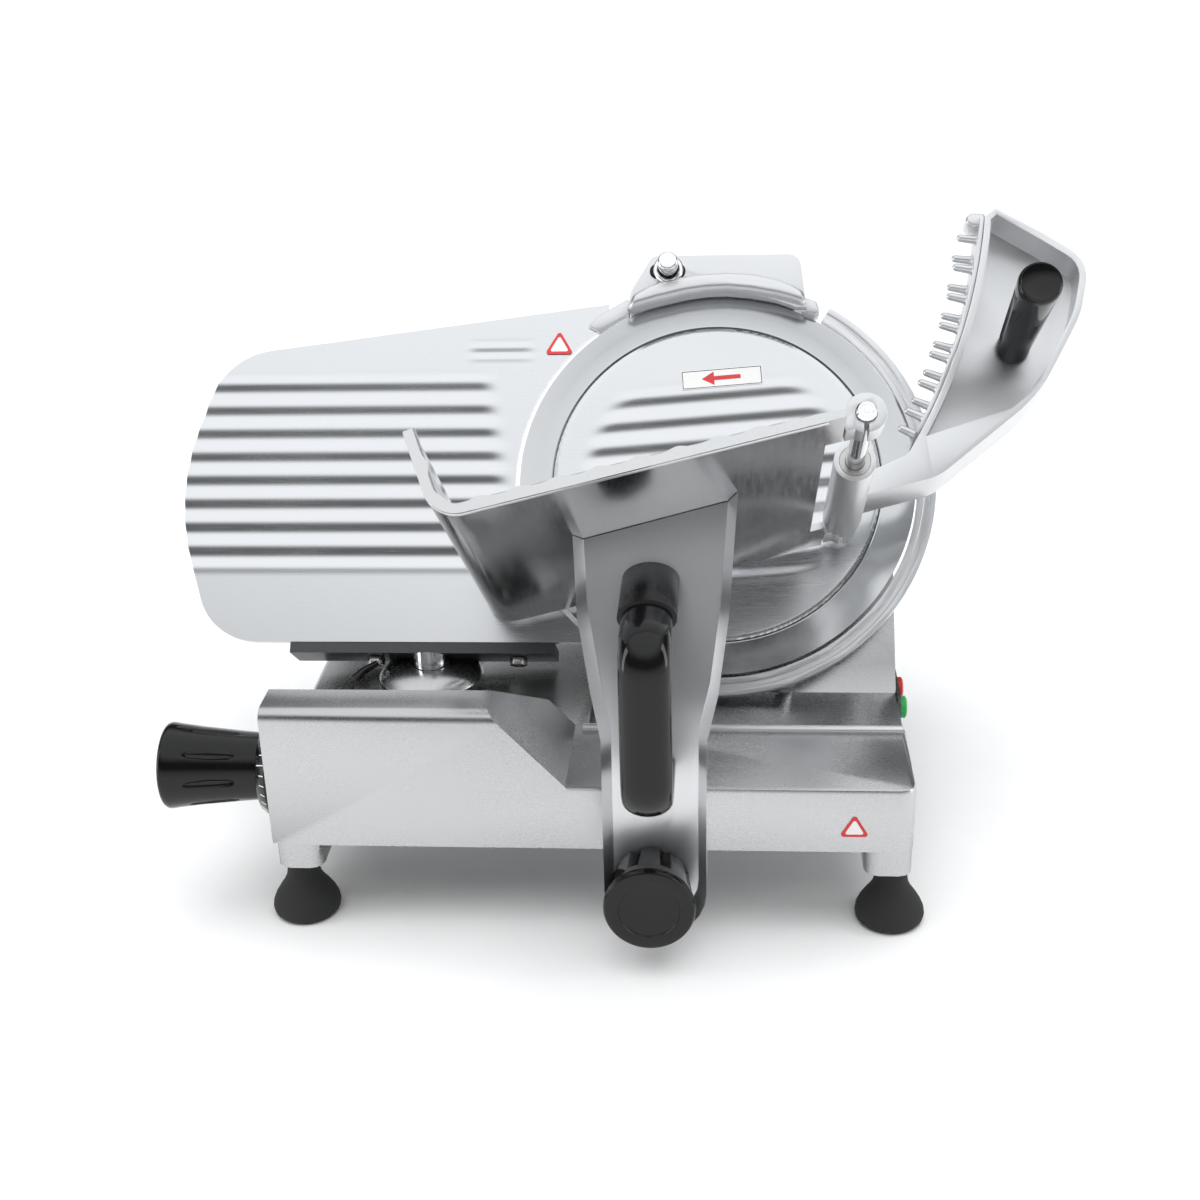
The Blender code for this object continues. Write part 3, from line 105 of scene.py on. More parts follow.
class SlicerSizes(bpy.types.PropertyGroup):
    """Sizes of the fine detail"""
    rib_pitch: bpy.props.FloatProperty(
        name="Plate rib pitch", description="Distance between the gauge plate's ribs",
        default=0.01584, unit="LENGTH")
    rib_height: bpy.props.FloatProperty(
        name="Rib height", description="Half the height of the ribs on plate and cover",
        default=0.00062, unit="LENGTH")
    tray_pitch: bpy.props.FloatProperty(
        name="Tray rib pitch", description="Distance between the ribs inside the tray",
        default=0.020, unit="LENGTH")
    casting_round: bpy.props.FloatProperty(
        name="Casting rounding", description="Edge radius of the castings",
        default=0.0022, unit="LENGTH")
    lip_radius: bpy.props.FloatProperty(
        name="Tray lip radius", description="Radius of the bead round the tray's edge",
        default=0.0034, unit="LENGTH")
    flutes: bpy.props.IntProperty(
        name="Knob flutes", description="Number of finger recesses in the thickness knob",
        default=8, min=3)


class SlicerColours(bpy.types.PropertyGroup):
    """Base colours of the finishes"""
    cast: bpy.props.FloatVectorProperty(
        name="Casting", description="Polished cast aluminium", subtype="COLOR",
        default=(0.66, 0.665, 0.67))
    plate: bpy.props.FloatVectorProperty(
        name="Plate", description="Anodised aluminium sheet and plate", subtype="COLOR",
        default=(0.74, 0.75, 0.765))
    steel: bpy.props.FloatVectorProperty(
        name="Blade steel", description="Ground stainless steel", subtype="COLOR",
        default=(0.60, 0.61, 0.62))
    black: bpy.props.FloatVectorProperty(
        name="Black plastic", description="Glossy moulded knobs and grips", subtype="COLOR",
        default=(0.005, 0.005, 0.0055))
    rubber: bpy.props.FloatVectorProperty(
        name="Rubber", description="Feet and belt", subtype="COLOR",
        default=(0.014, 0.014, 0.015))
    ink: bpy.props.FloatVectorProperty(
        name="Label ink", description="Red of the plain labels", subtype="COLOR",
        default=(0.62, 0.03, 0.035))
    floor: bpy.props.FloatVectorProperty(
        name="Floor", description="Pale floor of the studio", subtype="COLOR",
        default=(0.86, 0.86, 0.86))


# ---- finishes ---------------------------------------------------------------

def surface(name, colour, metallic, rough, grain, stretch=(1.0, 1.0, 1.0), leaned=False,
            rings=False, bump=0.08, tint=0.04, coat=0.0, broad=16.0, gloss=0.5):
    """A Principled material whose grain, roughness and tint vary over the piece.

    rough is the lowest and highest roughness, grain the fine pattern's scale and
    stretch draws it out along an axis.  rings turns the grain into circles round
    the blade's axis.
    """
    if name in bpy.data.materials:
        return bpy.data.materials[name]
    mat = bpy.data.materials.new(name)
    mat.use_nodes = True
    nodes, links = mat.node_tree.nodes, mat.node_tree.links
    shader = nodes["Principled BSDF"]
    shader.inputs["Metallic"].default_value = metallic
    shader.inputs["Coat Weight"].default_value = coat
    shader.inputs["Coat Roughness"].default_value = 0.06
    shader.inputs["Specular IOR Level"].default_value = gloss
    source = nodes.new("ShaderNodeTexCoord").outputs["Object"]
    if leaned or rings:
        turn = nodes.new("ShaderNodeMapping")
        turn.vector_type = "TEXTURE"
        turn.inputs["Location"].default_value = MIDDLE
        turn.inputs["Rotation"].default_value = (LEAN_ANGLE, 0.0, 0.0)
        links.new(source, turn.inputs["Vector"])
        source = turn.outputs["Vector"]
    wide = nodes.new("ShaderNodeTexNoise")
    wide.inputs["Scale"].default_value = broad
    wide.inputs["Detail"].default_value = 3.0
    links.new(source, wide.inputs["Vector"])
    if rings:
        source = radius_of(nodes, links, source)
    drawn = nodes.new("ShaderNodeMapping")
    drawn.inputs["Scale"].default_value = stretch
    links.new(source, drawn.inputs["Vector"])
    fine = nodes.new("ShaderNodeTexNoise")
    fine.inputs["Scale"].default_value = grain
    fine.inputs["Detail"].default_value = 5.0
    links.new(drawn.outputs["Vector"], fine.inputs["Vector"])
    blend = nodes.new("ShaderNodeMath")
    blend.operation = "MULTIPLY_ADD"
    blend.inputs[1].default_value = 0.5
    links.new(fine.outputs["Fac"], blend.inputs[0])
    half = nodes.new("ShaderNodeMath")
    half.operation = "MULTIPLY"
    half.inputs[1].default_value = 0.5
    links.new(wide.outputs["Fac"], half.inputs[0])
    links.new(half.outputs[0], blend.inputs[2])
    spread = nodes.new("ShaderNodeMapRange")
    spread.inputs["From Min"].default_value = 0.35
    spread.inputs["From Max"].default_value = 0.65
    spread.inputs["To Min"].default_value = rough[0]
    spread.inputs["To Max"].default_value = rough[1]
    links.new(blend.outputs[0], spread.inputs["Value"])
    links.new(spread.outputs["Result"], shader.inputs["Roughness"])
    ramp = nodes.new("ShaderNodeValToRGB")
    ramp.color_ramp.elements[0].position = 0.35
    ramp.color_ramp.elements[1].position = 0.65
    ramp.color_ramp.elements[0].color = (*[c * (1 - tint) for c in colour], 1.0)
    ramp.color_ramp.elements[1].color = (*[min(1.0, c * (1 + tint)) for c in colour], 1.0)
    links.new(blend.outputs[0], ramp.inputs["Fac"])
    links.new(ramp.outputs["Color"], shader.inputs["Base Color"])
    relief = nodes.new("ShaderNodeBump")
    relief.inputs["Strength"].default_value = bump
    relief.inputs["Distance"].default_value = GRAIN_DEPTH
    links.new(fine.outputs["Fac"], relief.inputs["Height"])
    links.new(relief.outputs["Normal"], shader.inputs["Normal"])
    return mat


def radius_of(nodes, links, source):
    """Distance from the blade's axis, as the X of a vector."""
    flat = nodes.new("ShaderNodeVectorMath")
    flat.operation = "MULTIPLY"
    flat.inputs[1].default_value = (1.0, 1.0, 0.0)
    links.new(source, flat.inputs[0])
    length = nodes.new("ShaderNodeVectorMath")
    length.operation = "LENGTH"
    links.new(flat.outputs["Vector"], length.inputs[0])
    join = nodes.new("ShaderNodeCombineXYZ")
    links.new(length.outputs["Value"], join.inputs["X"])
    return join.outputs["Vector"]


def colours():
    return bpy.context.scene.slicer_colours


def cast_aluminium():
    return surface("cast_aluminium", colours().cast, 1.0, (0.19, 0.29), 1100, bump=0.03,
                   tint=0.035, stretch=(0.3, 1, 1))


def base_casting():
    # Cast colour darkened to 0.8 as painted shade, so the base reads darker than the other
    # castings; the higher roughness is its satin finish
    return surface("base_casting_satin_shaded", [0.80 * c for c in colours().cast], 1.0, (0.25, 0.32),
                   1400, bump=0.01, tint=0.02, stretch=(0.3, 1, 1))


def rough_casting():
    return surface("rough_casting", [0.9 * c for c in colours().cast], 1.0, (0.34, 0.52), 700,
                   bump=0.35, tint=0.08)


def brushed_plate():
    return surface("brushed_plate", colours().plate, 1.0, (0.21, 0.29), 1800, bump=0.015,
                   tint=0.02, stretch=(0.02, 1, 1), leaned=True, broad=9.0)


def polished_tray():
    return surface("polished_tray", colours().cast, 1.0, (0.10, 0.22), 500, bump=0.04,
                   tint=0.05, leaned=True, stretch=(1, 1, 0.1))


def ground_steel():
    return surface("ground_steel", colours().steel, 1.0, (0.10, 0.24), 2600, bump=0.10,
                   tint=0.08, rings=True, broad=30.0)


def bright_chrome():
    return surface("bright_chrome", (0.80, 0.80, 0.81), 1.0, (0.04, 0.10), 600, bump=0.02,
                   tint=0.03)


def zinc():
    return surface("zinc", (0.62, 0.62, 0.60), 1.0, (0.22, 0.40), 800, bump=0.15, tint=0.08)


def black_gloss():
    return surface("black_gloss", colours().black, 0.0, (0.05, 0.12), 450, bump=0.02,
                   tint=0.25, gloss=0.35)


def black_turned():
    return surface("black_turned", [1.3 * c for c in colours().black], 0.0, (0.22, 0.34), 1800,
                   bump=0.2, tint=0.2, gloss=0.3)


def foot_rubber():
    return surface("foot_rubber", colours().rubber, 0.0, (0.62, 0.82), 1300, bump=0.45,
                   tint=0.30)


def bearing_bronze():
    return surface("bearing_bronze", (0.60, 0.42, 0.20), 1.0, (0.20, 0.36), 900, bump=0.1,
                   tint=0.10)


def painted_steel():
    return surface("painted_steel", (0.075, 0.078, 0.082), 0.6, (0.30, 0.45), 900, bump=0.2,
                   tint=0.12)


def start_green():
    return surface("start_green", (0.02, 0.26, 0.06), 0.0, (0.18, 0.30), 700, bump=0.05,
                   tint=0.1, coat=0.3)


def stop_red():
    return surface("stop_red", (0.45, 0.02, 0.02), 0.0, (0.18, 0.30), 700, bump=0.05,
                   tint=0.1, coat=0.3)


def label_white():
    return surface("label_white", (0.82, 0.82, 0.81), 0.0, (0.28, 0.42), 500, bump=0.03,
                   tint=0.03)


def label_ink():
    return surface("label_ink", colours().ink, 0.0, (0.28, 0.42), 500, bump=0.03, tint=0.08)


# ---- modelling --------------------------------------------------------------

def select_only(ob):
    """Leaves edit mode and selects one object, or none."""
    if bpy.context.object and bpy.context.object.mode != "OBJECT":
        bpy.ops.object.mode_set(mode="OBJECT")
    bpy.ops.object.select_all(action="DESELECT")
    if ob is not None:
        ob.select_set(True)
        bpy.context.view_layer.objects.active = ob


@contextmanager
def editing(ob):
    """Edit mode on one object, with everything selected."""
    select_only(ob)
    bpy.ops.object.mode_set(mode="EDIT")
    bpy.ops.mesh.select_all(action="SELECT")
    yield bmesh.from_edit_mesh(ob.data)
    bpy.ops.object.mode_set(mode="OBJECT")


def outward():
    """Turns all faces of the mesh in edit mode outwards."""
    bpy.ops.mesh.select_all(action="SELECT")
    bpy.ops.mesh.normals_make_consistent(inside=False)


def circle_of(points, fill):
    """A circle primitive with its corners moved onto an outline in millimetres."""
    select_only(None)
    bpy.ops.mesh.primitive_circle_add(vertices=len(points), fill_type=fill)
    ob = bpy.context.object
    for vert, point in zip(ob.data.vertices, points):
        vert.co = Vector(point) * MM
    return ob


def slab(outline, low, high):
    """Extrudes an outline in local XY between two heights, all in millimetres."""
    ob = circle_of([(a, b, low) for a, b in outline], "NGON")
    with editing(ob):
        bpy.ops.mesh.extrude_region_move(
            TRANSFORM_OT_translate={"value": (0.0, 0.0, (high - low) * MM)})
        outward()
    return ob


def turned(profile, steps=96, angle=360.0, start=0.0):
    """Spins a profile of (radius, height) points, in millimetres, about local Z."""
    first = Matrix.Rotation(math.radians(start), 3, "Z")
    ob = circle_of([first @ Vector((r, 0.0, z)) for r, z in profile], "NOTHING")
    ends = {0, len(profile) - 1}
    with editing(ob) as mesh:
        if profile[0][0] == 0.0 and profile[-1][0] == 0.0:
            bpy.ops.mesh.select_all(action="DESELECT")
            bpy.ops.mesh.select_mode(type="EDGE")
            for edge in mesh.edges:
                edge.select = {v.index for v in edge.verts} == ends
            bpy.ops.mesh.delete(type="EDGE")
            bpy.ops.mesh.select_mode(type="VERT")
            bpy.ops.mesh.select_all(action="SELECT")
        elif angle < 360.0:
            bpy.ops.mesh.edge_face_add()
        bpy.ops.mesh.spin(steps=steps, angle=math.radians(angle), center=(0, 0, 0),
                          axis=(0, 0, 1))
        bpy.ops.mesh.select_all(action="SELECT")
        bpy.ops.mesh.remove_doubles(threshold=MERGE_M)
        outward()
    return ob


def block(low, high):
    """A cuboid between two corners in millimetres."""
    select_only(None)
    centre = (Vector(low) + Vector(high)) / 2 * MM
    bpy.ops.mesh.primitive_cube_add(size=1.0, location=centre,
                                    scale=(Vector(high) - Vector(low)) * MM)
    ob = bpy.context.object
    bpy.ops.object.transform_apply(location=True, rotation=True, scale=True)
    return ob


def swept(points, radius, resolution=8, radii=None, flat=1.0):
    """A round bar along points in millimetres, made from a curve and turned to mesh."""
    select_only(None)
    bpy.ops.curve.primitive_nurbs_path_add()
    ob = bpy.context.object
    curve = ob.data
    curve.splines.clear()
    spline = curve.splines.new("POLY")
    spline.points.add(len(points) - 1)
    for i, (target, point) in enumerate(zip(spline.points, points)):
        target.co = (*(Vector(point) * MM), 1.0)
        target.radius = 1.0 if radii is None else radii[i]
    curve.dimensions = "3D"
    curve.bevel_depth = radius * MM
    curve.bevel_resolution = resolution
    curve.use_fill_caps = True
    bpy.ops.object.convert(target="MESH")
    ob = bpy.context.object
    if flat != 1.0:
        for vert in ob.data.vertices:
            vert.co.x *= flat
    with editing(ob):
        bpy.ops.mesh.remove_doubles(threshold=MERGE_M)
        outward()
    return ob


def modify(ob, kind, **values):
    """Adds a modifier, sets it and applies it."""
    select_only(ob)
    bpy.ops.object.modifier_add(type=kind)
    mod = ob.modifiers[-1]
    for key, value in values.items():
        setattr(mod, key, value)
    bpy.ops.object.modifier_apply(modifier=mod.name)
    return ob


def combine(ob, tool, operation):
    """Exact boolean with a tool, which is then removed."""
    modify(ob, "BOOLEAN", object=tool, operation=operation, solver="EXACT")
    bpy.data.objects.remove(tool)
    return ob


def round_off(ob, width, segments=3, angle=32.0):
    """Bevels the edges sharper than an angle; the width is in millimetres."""
    return modify(ob, "BEVEL", width=width * MM, segments=segments, limit_method="ANGLE",
                  angle_limit=math.radians(angle), use_clamp_overlap=True,
                  miter_outer="MITER_ARC")


def arc(cx, cy, radius, start, end, count):
    """Points along an arc between two angles in degrees."""
    step = (end - start) / (count - 1)
    turns = [math.radians(start + step * i) for i in range(count)]
    return [(cx + radius * math.cos(t), cy + radius * math.sin(t)) for t in turns]


def rounded(corners, count=8):
    """Fillets a polygon given as (x, y, radius) corners."""
    points = []
    total = len(corners)
    for i, (x, y, radius) in enumerate(corners):
        here = Vector((x, y))
        before = (Vector(corners[i - 1][:2]) - here).normalized()
        after = (Vector(corners[(i + 1) % total][:2]) - here).normalized()
        if radius <= 0.0:
            points.append((x, y))
            continue
        half = before.angle(after) / 2
        centre = here + (before + after).normalized() * radius / math.sin(half)
        first = here + before * radius / math.tan(half) - centre
        last = here + after * radius / math.tan(half) - centre
        sweep = first.angle_signed(last)
        for k in range(count + 1):
            points.append(tuple(centre + Matrix.Rotation(-sweep * k / count, 2) @ first))
    return points


def copy_of(node):
    """A copy of a CAD node's mesh with its doubles merged and its flat faces joined."""
    ob = bpy.data.objects.new(f"{node}_shell", frame["nodes"][node].data.copy())
    bpy.context.scene.collection.objects.link(ob)
    with editing(ob):
        bpy.ops.mesh.remove_doubles(threshold=MERGE_M)
        bpy.ops.mesh.dissolve_limited(angle_limit=math.radians(0.6))
    return ob


def keep(ob, name, body, material, place=None, stands_for=(), smooth=38.0):
    """Places a finished piece, gives it its finish and lets it ride on its body."""
    select_only(ob)
    ob.name = name
    ob.data.name = name
    if place is not None:
        ob.matrix_world = place @ ob.matrix_world
    bpy.ops.object.transform_apply(location=True, rotation=True, scale=True)
    bpy.ops.object.shade_smooth_by_angle(angle=math.radians(smooth))
    ob.data.materials.clear()
    ob.data.materials.append(material)
    if stands_for:
        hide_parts(*stands_for)
    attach(ob, body)
    return ob


def joined(whole, extra):
    """Joins a mesh into the one before it; the first stands alone."""
    if whole is None:
        return extra
    select_only(whole)
    extra.select_set(True)
    bpy.ops.object.join()
    return whole


def flute(knob, count, path, phase=0.0, smooth=False):
    """Cuts finger recesses along a path, evenly spaced round a knob."""
    for k in range(count):
        cutter = swept(path, FLUTE_R, 6)
        if smooth:
            modify(cutter, "SUBSURF")
        cutter.data.transform(Matrix.Rotation(math.tau * (k + phase) / count, 4, "Z"))
        combine(knob, cutter, "DIFFERENCE")


def on_left_side(node):
    """Place of a turned piece on the thickness shaft, its axis pointing left."""
    return (Matrix.Translation((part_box(node)[1].x, KNOB.y, KNOB.z))
            @ Matrix.Rotation(-math.pi / 2, 4, "Y"))


def body_with(node):
    return frame["nodes"][node]["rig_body"]


def softened(node, width, material, segments=3, smooth=38.0):
    """Stands a rounded copy in for a CAD node."""
    ob = round_off(copy_of(node), width, segments)
    return keep(ob, f"{node}_finished", body_with(node), material, None, (node,), smooth)


# ---- pieces -----------------------------------------------------------------

class PieceOperator:
    """Shared shape of the operators that model one piece or group."""
    bl_options = {"REGISTER", "UNDO"}

    def execute(self, context):
        self.make(context.scene.slicer_sizes)
        return {"FINISHED"}


class SLICER_OT_stage(PieceOperator, bpy.types.Operator):
    """Pale floor, soft light and the camera"""
    bl_idname = "slicer.stage"
    bl_label = "Stage"

    def make(self, sizes):
        select_only(None)
        bpy.ops.mesh.primitive_circle_add(vertices=96, radius=14.0, fill_type="NGON")
        floor = bpy.context.object
        floor.name = "studio_floor"
        floor.data.materials.append(surface("studio_floor", colours().floor, 0.0, (0.75, 0.9),
                                            40, bump=0.0, tint=0.01, broad=2.0))
        self.lights()
        self.camera()

    def lights(self):
        """A soft tent: bright above, dark round the shoulders, a pale wall at the horizon"""
        scene = bpy.context.scene
        scene.view_settings.view_transform = "Standard"
        world = scene.world or bpy.data.worlds.new("studio")
        scene.world = world
        world.use_nodes = True
        nodes, links = world.node_tree.nodes, world.node_tree.links
        parts = nodes.new("ShaderNodeSeparateXYZ")
        links.new(nodes.new("ShaderNodeTexCoord").outputs["Generated"], parts.inputs["Vector"])
        brightest = nodes.new("ShaderNodeMath")
        brightest.operation = "MAXIMUM"
        bands = ((0.56, 0.80, 0.07, 1.2), (0.08, 0.34, 1.0, 0.0))
        for socket, (low, high, first, last) in zip(brightest.inputs, bands):
            band = nodes.new("ShaderNodeMapRange")
            band.inputs["From Min"].default_value = low
            band.inputs["From Max"].default_value = high
            band.inputs["To Min"].default_value = first
            band.inputs["To Max"].default_value = last
            links.new(parts.outputs["Z"], band.inputs["Value"])
            links.new(band.outputs["Result"], socket)
        links.new(brightest.outputs[0], nodes["Background"].inputs["Strength"])
        nodes["Background"].inputs["Color"].default_value = (0.97, 0.985, 1.0, 1.0)
        self.softbox("softbox_left", (-1.9, -0.5, 0.75), (0.5, 1.5), 9.0)
        self.softbox("softbox_right", (1.9, -0.2, 0.85), (0.5, 1.5), 9.0)
        bpy.ops.object.light_add(type="SUN", location=(0.0, 0.0, 3.0))
        sun = bpy.context.object
        sun.name = "overhead_sky"
        sun.data.energy = 2.0
        sun.data.angle = math.radians(70.0)
        sun.rotation_euler = (math.radians(12.0), 0.0, 0.0)
        sun.visible_glossy = False

    def softbox(self, name, place, size, power):
        select_only(None)
        bpy.ops.object.light_add(type="AREA", location=place)
        light = bpy.context.object
        light.name = name
        light.data.shape = "RECTANGLE"
        light.data.size, light.data.size_y = size
        light.data.energy = power
        aim = Vector((0.0, 0.0, 0.18)) - Vector(place)
        light.rotation_euler = aim.to_track_quat("-Z", "Y").to_euler()
        light.visible_camera = False

    def camera(self):
        """Stands in front of the operator's side, a little to the right, looking down."""
        yaw, dip, roll = math.radians(-4.81), math.radians(24.437), math.radians(-1.866)
        ahead = Vector((math.sin(yaw) * math.cos(dip), math.cos(yaw) * math.cos(dip),
                        -math.sin(dip)))
        level = Vector((math.cos(yaw), -math.sin(yaw), 0.0))
        steep = level.cross(ahead)
        right = level * math.cos(roll) + steep * math.sin(roll)
        above = steep * math.cos(roll) - level * math.sin(roll)
        select_only(None)
        bpy.ops.object.camera_add()
        camera = bpy.context.object
        camera.name = "front_camera"
        camera.matrix_world = (Matrix.Translation((0.067982, -0.946264, 0.579488))
                               @ Matrix((right, above, -ahead)).transposed().to_4x4())
        camera.data.sensor_width = 36.0
        camera.data.lens = 50.925
        camera.data.shift_x = 0.00365
        camera.data.shift_y = 0.00612
        camera.data.clip_start = 0.01
        bpy.context.scene.camera = camera


def ribbed(outline, low, bottom, height, cells):
    """A plate whose top follows height(x, v), trimmed to an outline; millimetres."""
    xs = [p[0] for p in outline]
    vs = [p[1] for p in outline]
    margin = 2.0
    spans = (max(xs) - min(xs) + 2 * margin, max(vs) - min(vs) + 2 * margin)
    corner = (min(xs) - margin, min(vs) - margin)
    select_only(None)
    bpy.ops.mesh.primitive_grid_add(x_subdivisions=cells[0], y_subdivisions=cells[1], size=1.0)
    ob = bpy.context.object
    for vert in ob.data.vertices:
        x = corner[0] + (vert.co.x + 0.5) * spans[0]
        v = corner[1] + (vert.co.y + 0.5) * spans[1]
        vert.co = Vector((x, v, low + height(x, v))) * MM
    with editing(ob) as mesh:
        bpy.ops.mesh.extrude_region_move(TRANSFORM_OT_translate={"value": (0, 0, -MM)})
        for vert in mesh.verts:
            if vert.select:
                vert.co.z = bottom * MM
        outward()
    return combine(ob, slab(outline, bottom - 5.0, low + 5.0), "INTERSECT")


def fade(value, edge, width):
    """1 below the edge, 0 above it, smooth over the width."""
    t = min(1.0, max(0.0, (value - edge) / width + 0.5))
    return 1.0 - t * t * (3.0 - 2.0 * t)


PLATE_TOP = 121.0
PLATE_FOOT = -105.0
PLATE_RIB_TOP = 65.0           # first dark valley, up the blade
PLATE_RIBS = 8


class SLICER_OT_gauge_plate(PieceOperator, bpy.types.Operator):
    """Ribbed plate that the food slides along and that sets the slice"""
    bl_idname = "slicer.gauge_plate"
    bl_label = "Gauge plate"

    def make(self, sizes):
        corners = [(-70.0, PLATE_TOP, 0), (-322.0, PLATE_TOP - 34, 46), (-350.0, -8.0, 150),
                   (-319.0, PLATE_FOOT, 40), (-60.0, PLATE_FOOT, 0)]
        pitch = sizes.rib_pitch / MM
        rise = sizes.rib_height / MM

        def height(x, v):
            ridge = math.sin(math.tau * (v - PLATE_RIB_TOP) / pitch) * rise
            above = fade(v, PLATE_RIB_TOP + 0.45 * pitch, 8.0)
            under = fade(-v, -(PLATE_RIB_TOP - (PLATE_RIBS - 0.25) * pitch), 10.0)
            right = fade(x + 0.16 * v, -136.0, 16.0)
            pair = math.sin(math.tau * (v - 90.0) / 8.0) * 0.5 * rise
            pair *= fade(abs(x + 140.0), 20.0, 12.0) * fade(abs(v - 89.0), 7.0, 5.0)
            return ridge * above * under * right + pair - rise

        plate = ribbed(rounded(corners, 16), -0.5, -5.5, height, (150, 150))
        combine(plate, turned([(0.0, -30.0), (128.0, -30.0), (128.0, 30.0), (0.0, 30.0)], 192),
                "DIFFERENCE")
        keep(plate, "gauge_plate_ribbed", "gauge", brushed_plate(), LEAN,
             ("gauge_plate",), smooth=50.0)


class SLICER_OT_blade(PieceOperator, bpy.types.Operator):
    """Hollow-ground blade and the ribbed cover in the middle of it"""
    bl_idname = "slicer.blade"
    bl_label = "Blade and cover"

    def make(self, sizes):
        blade = [(18.0, -8.7), (100.0, -8.7), (104.1, -3.0), (104.5, -2.35), (105.1, -2.15),
                 (106.4, -2.1), (115.0, -1.1), (116.2, -0.95), (124.4, -0.1), (124.9, -0.05),
                 (125.0, -0.3), (124.6, -0.6), (112.0, -7.0), (104.5, -13.0), (18.0, -13.0)]
        keep(turned(blade, 240), "blade_ground", "blade", ground_steel(), LEAN,
             ("blade",), smooth=12.0)
        rim = 103.5
        pitch = sizes.rib_pitch / MM
        rise = sizes.rib_height / MM

        def height(x, v):
            across = v * math.cos(COVER_TILT) - x * math.sin(COVER_TILT)
            out = math.hypot(x, v)
            ridge = math.sin(math.tau * (across - 57.0) / pitch) * rise
            ridge *= fade(out, 82.0, 14.0) * fade(across, 57.0 + 0.5 * pitch, 8.0)
            ridge *= fade(-across, 66.0, 8.0)
            return ridge - 0.9 * fade(102.7 - out, 0.0, 1.6) - rise * 0.4

        cover = ribbed(arc(0, 0, rim, 0, 358.5, 240), -1.0, -7.0, height, (150, 150))
        keep(cover, "blade_cover_ribbed", "frame", brushed_plate(), LEAN,
             ("blade_cover",), smooth=50.0)


class SLICER_OT_guard(PieceOperator, bpy.types.Operator):
    """Ring guard round the blade's open edge, on two lugs"""
    bl_idname = "slicer.guard"
    bl_label = "Blade guard"

    def make(self, sizes):
        outline = arc(0, 0, 126.6, -117.0, 58.0, 160) + arc(0, 0, 138.0, 58.0, -117.0, 160)
        ring = slab(outline, -9.5, -1.5)
        groove = arc(0, 0, 130.6, -122.0, 63.0, 160) + arc(0, 0, 134.0, 63.0, -122.0, 160)
        combine(ring, slab(groove, -2.3, 1.0), "DIFFERENCE")
        round_off(ring, 0.9, 3, 40.0)
        for angle in (-70.0, -38.0):
            place = Matrix.Rotation(math.radians(angle), 4, "Z") @ Vector((132.3, 0, 0))
            lug = turned([(0.0, -21.7), (5.0, -21.7), (5.0, -5.0), (0.0, -5.0)], 32)
            lug.data.transform(Matrix.Translation(place * MM))
            combine(ring, lug, "UNION")
        keep(ring, "guard_ring_finished", "frame", cast_aluminium(), LEAN,
             ("blade_guard_ring",), smooth=30.0)


class SLICER_OT_base(PieceOperator, bpy.types.Operator):
    """Base casting with its rounded edges, and its four rubber feet"""
    bl_idname = "slicer.base"
    bl_label = "Base and feet"

    def make(self, sizes):
        softened("base_casting", 2.2, base_casting(), 3)
        profile = [(0.0, 0.0), (15.5, 0.0), (17.2, 0.4), (19.4, 2.6), (20.0, 5.2), (19.6, 8.2),
                   (18.0, 12.0), (15.2, 16.6), (12.4, 20.6), (10.4, 24.4), (9.6, 28.0),
                   (9.4, 31.0), (9.4, 40.5), (0.0, 40.5)]
        for foot in ("foot_front_left", "foot_front_right", "foot_rear_left", "foot_rear_right"):
            low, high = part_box(foot)
            spot = Vector(((low.x + high.x) / 2, (low.y + high.y) / 2, 0.0))
            keep(turned(profile, 64), f"{foot}_moulded", "frame", foot_rubber(),
                 Matrix.Translation(spot), (foot,))
        softened("bottom_cover", 0.4, brushed_plate(), 2)


TRAY_CORNER = Vector((-133.6, -90.3))
TRAY_WALL_END = Vector((-149.0, -49.0))
TRAY_SLOPE = math.radians(14.4)
TRAY_FLOOR = 195.0
TRAY_D = (6.0, 241.0)
TRAY_T = 5.0


def tray_point(s, t):
    """A point s along the tray floor and t above it, in the blade plane."""
    turn = Matrix.Rotation(TRAY_SLOPE, 2)
    return TRAY_CORNER + turn @ Vector((s, t))


def tray_section(sizes):
    """Inner line of the tray from the wall's top to the floor's right edge, evenly stepped."""
    end = tray_point(TRAY_FLOOR, 0.0)
    path = rounded([(*TRAY_WALL_END, 0), (*TRAY_CORNER, 12.0), (*end, 0),
                    (*(end + Vector((0, 500))), 0)], 12)[:-1]
    path = [Vector(p) for p in path]
    stations = []
    run = 0.0
    step = 1.25
    for a, b in zip(path, path[1:]):
        count = max(1, round((b - a).length / step))
        for k in range(count):
            stations.append((a.lerp(b, k / count), (b - a).normalized(), run))
            run += (b - a).length / count
    stations.append((path[-1], (path[-1] - path[-2]).normalized(), run))
    return stations, run


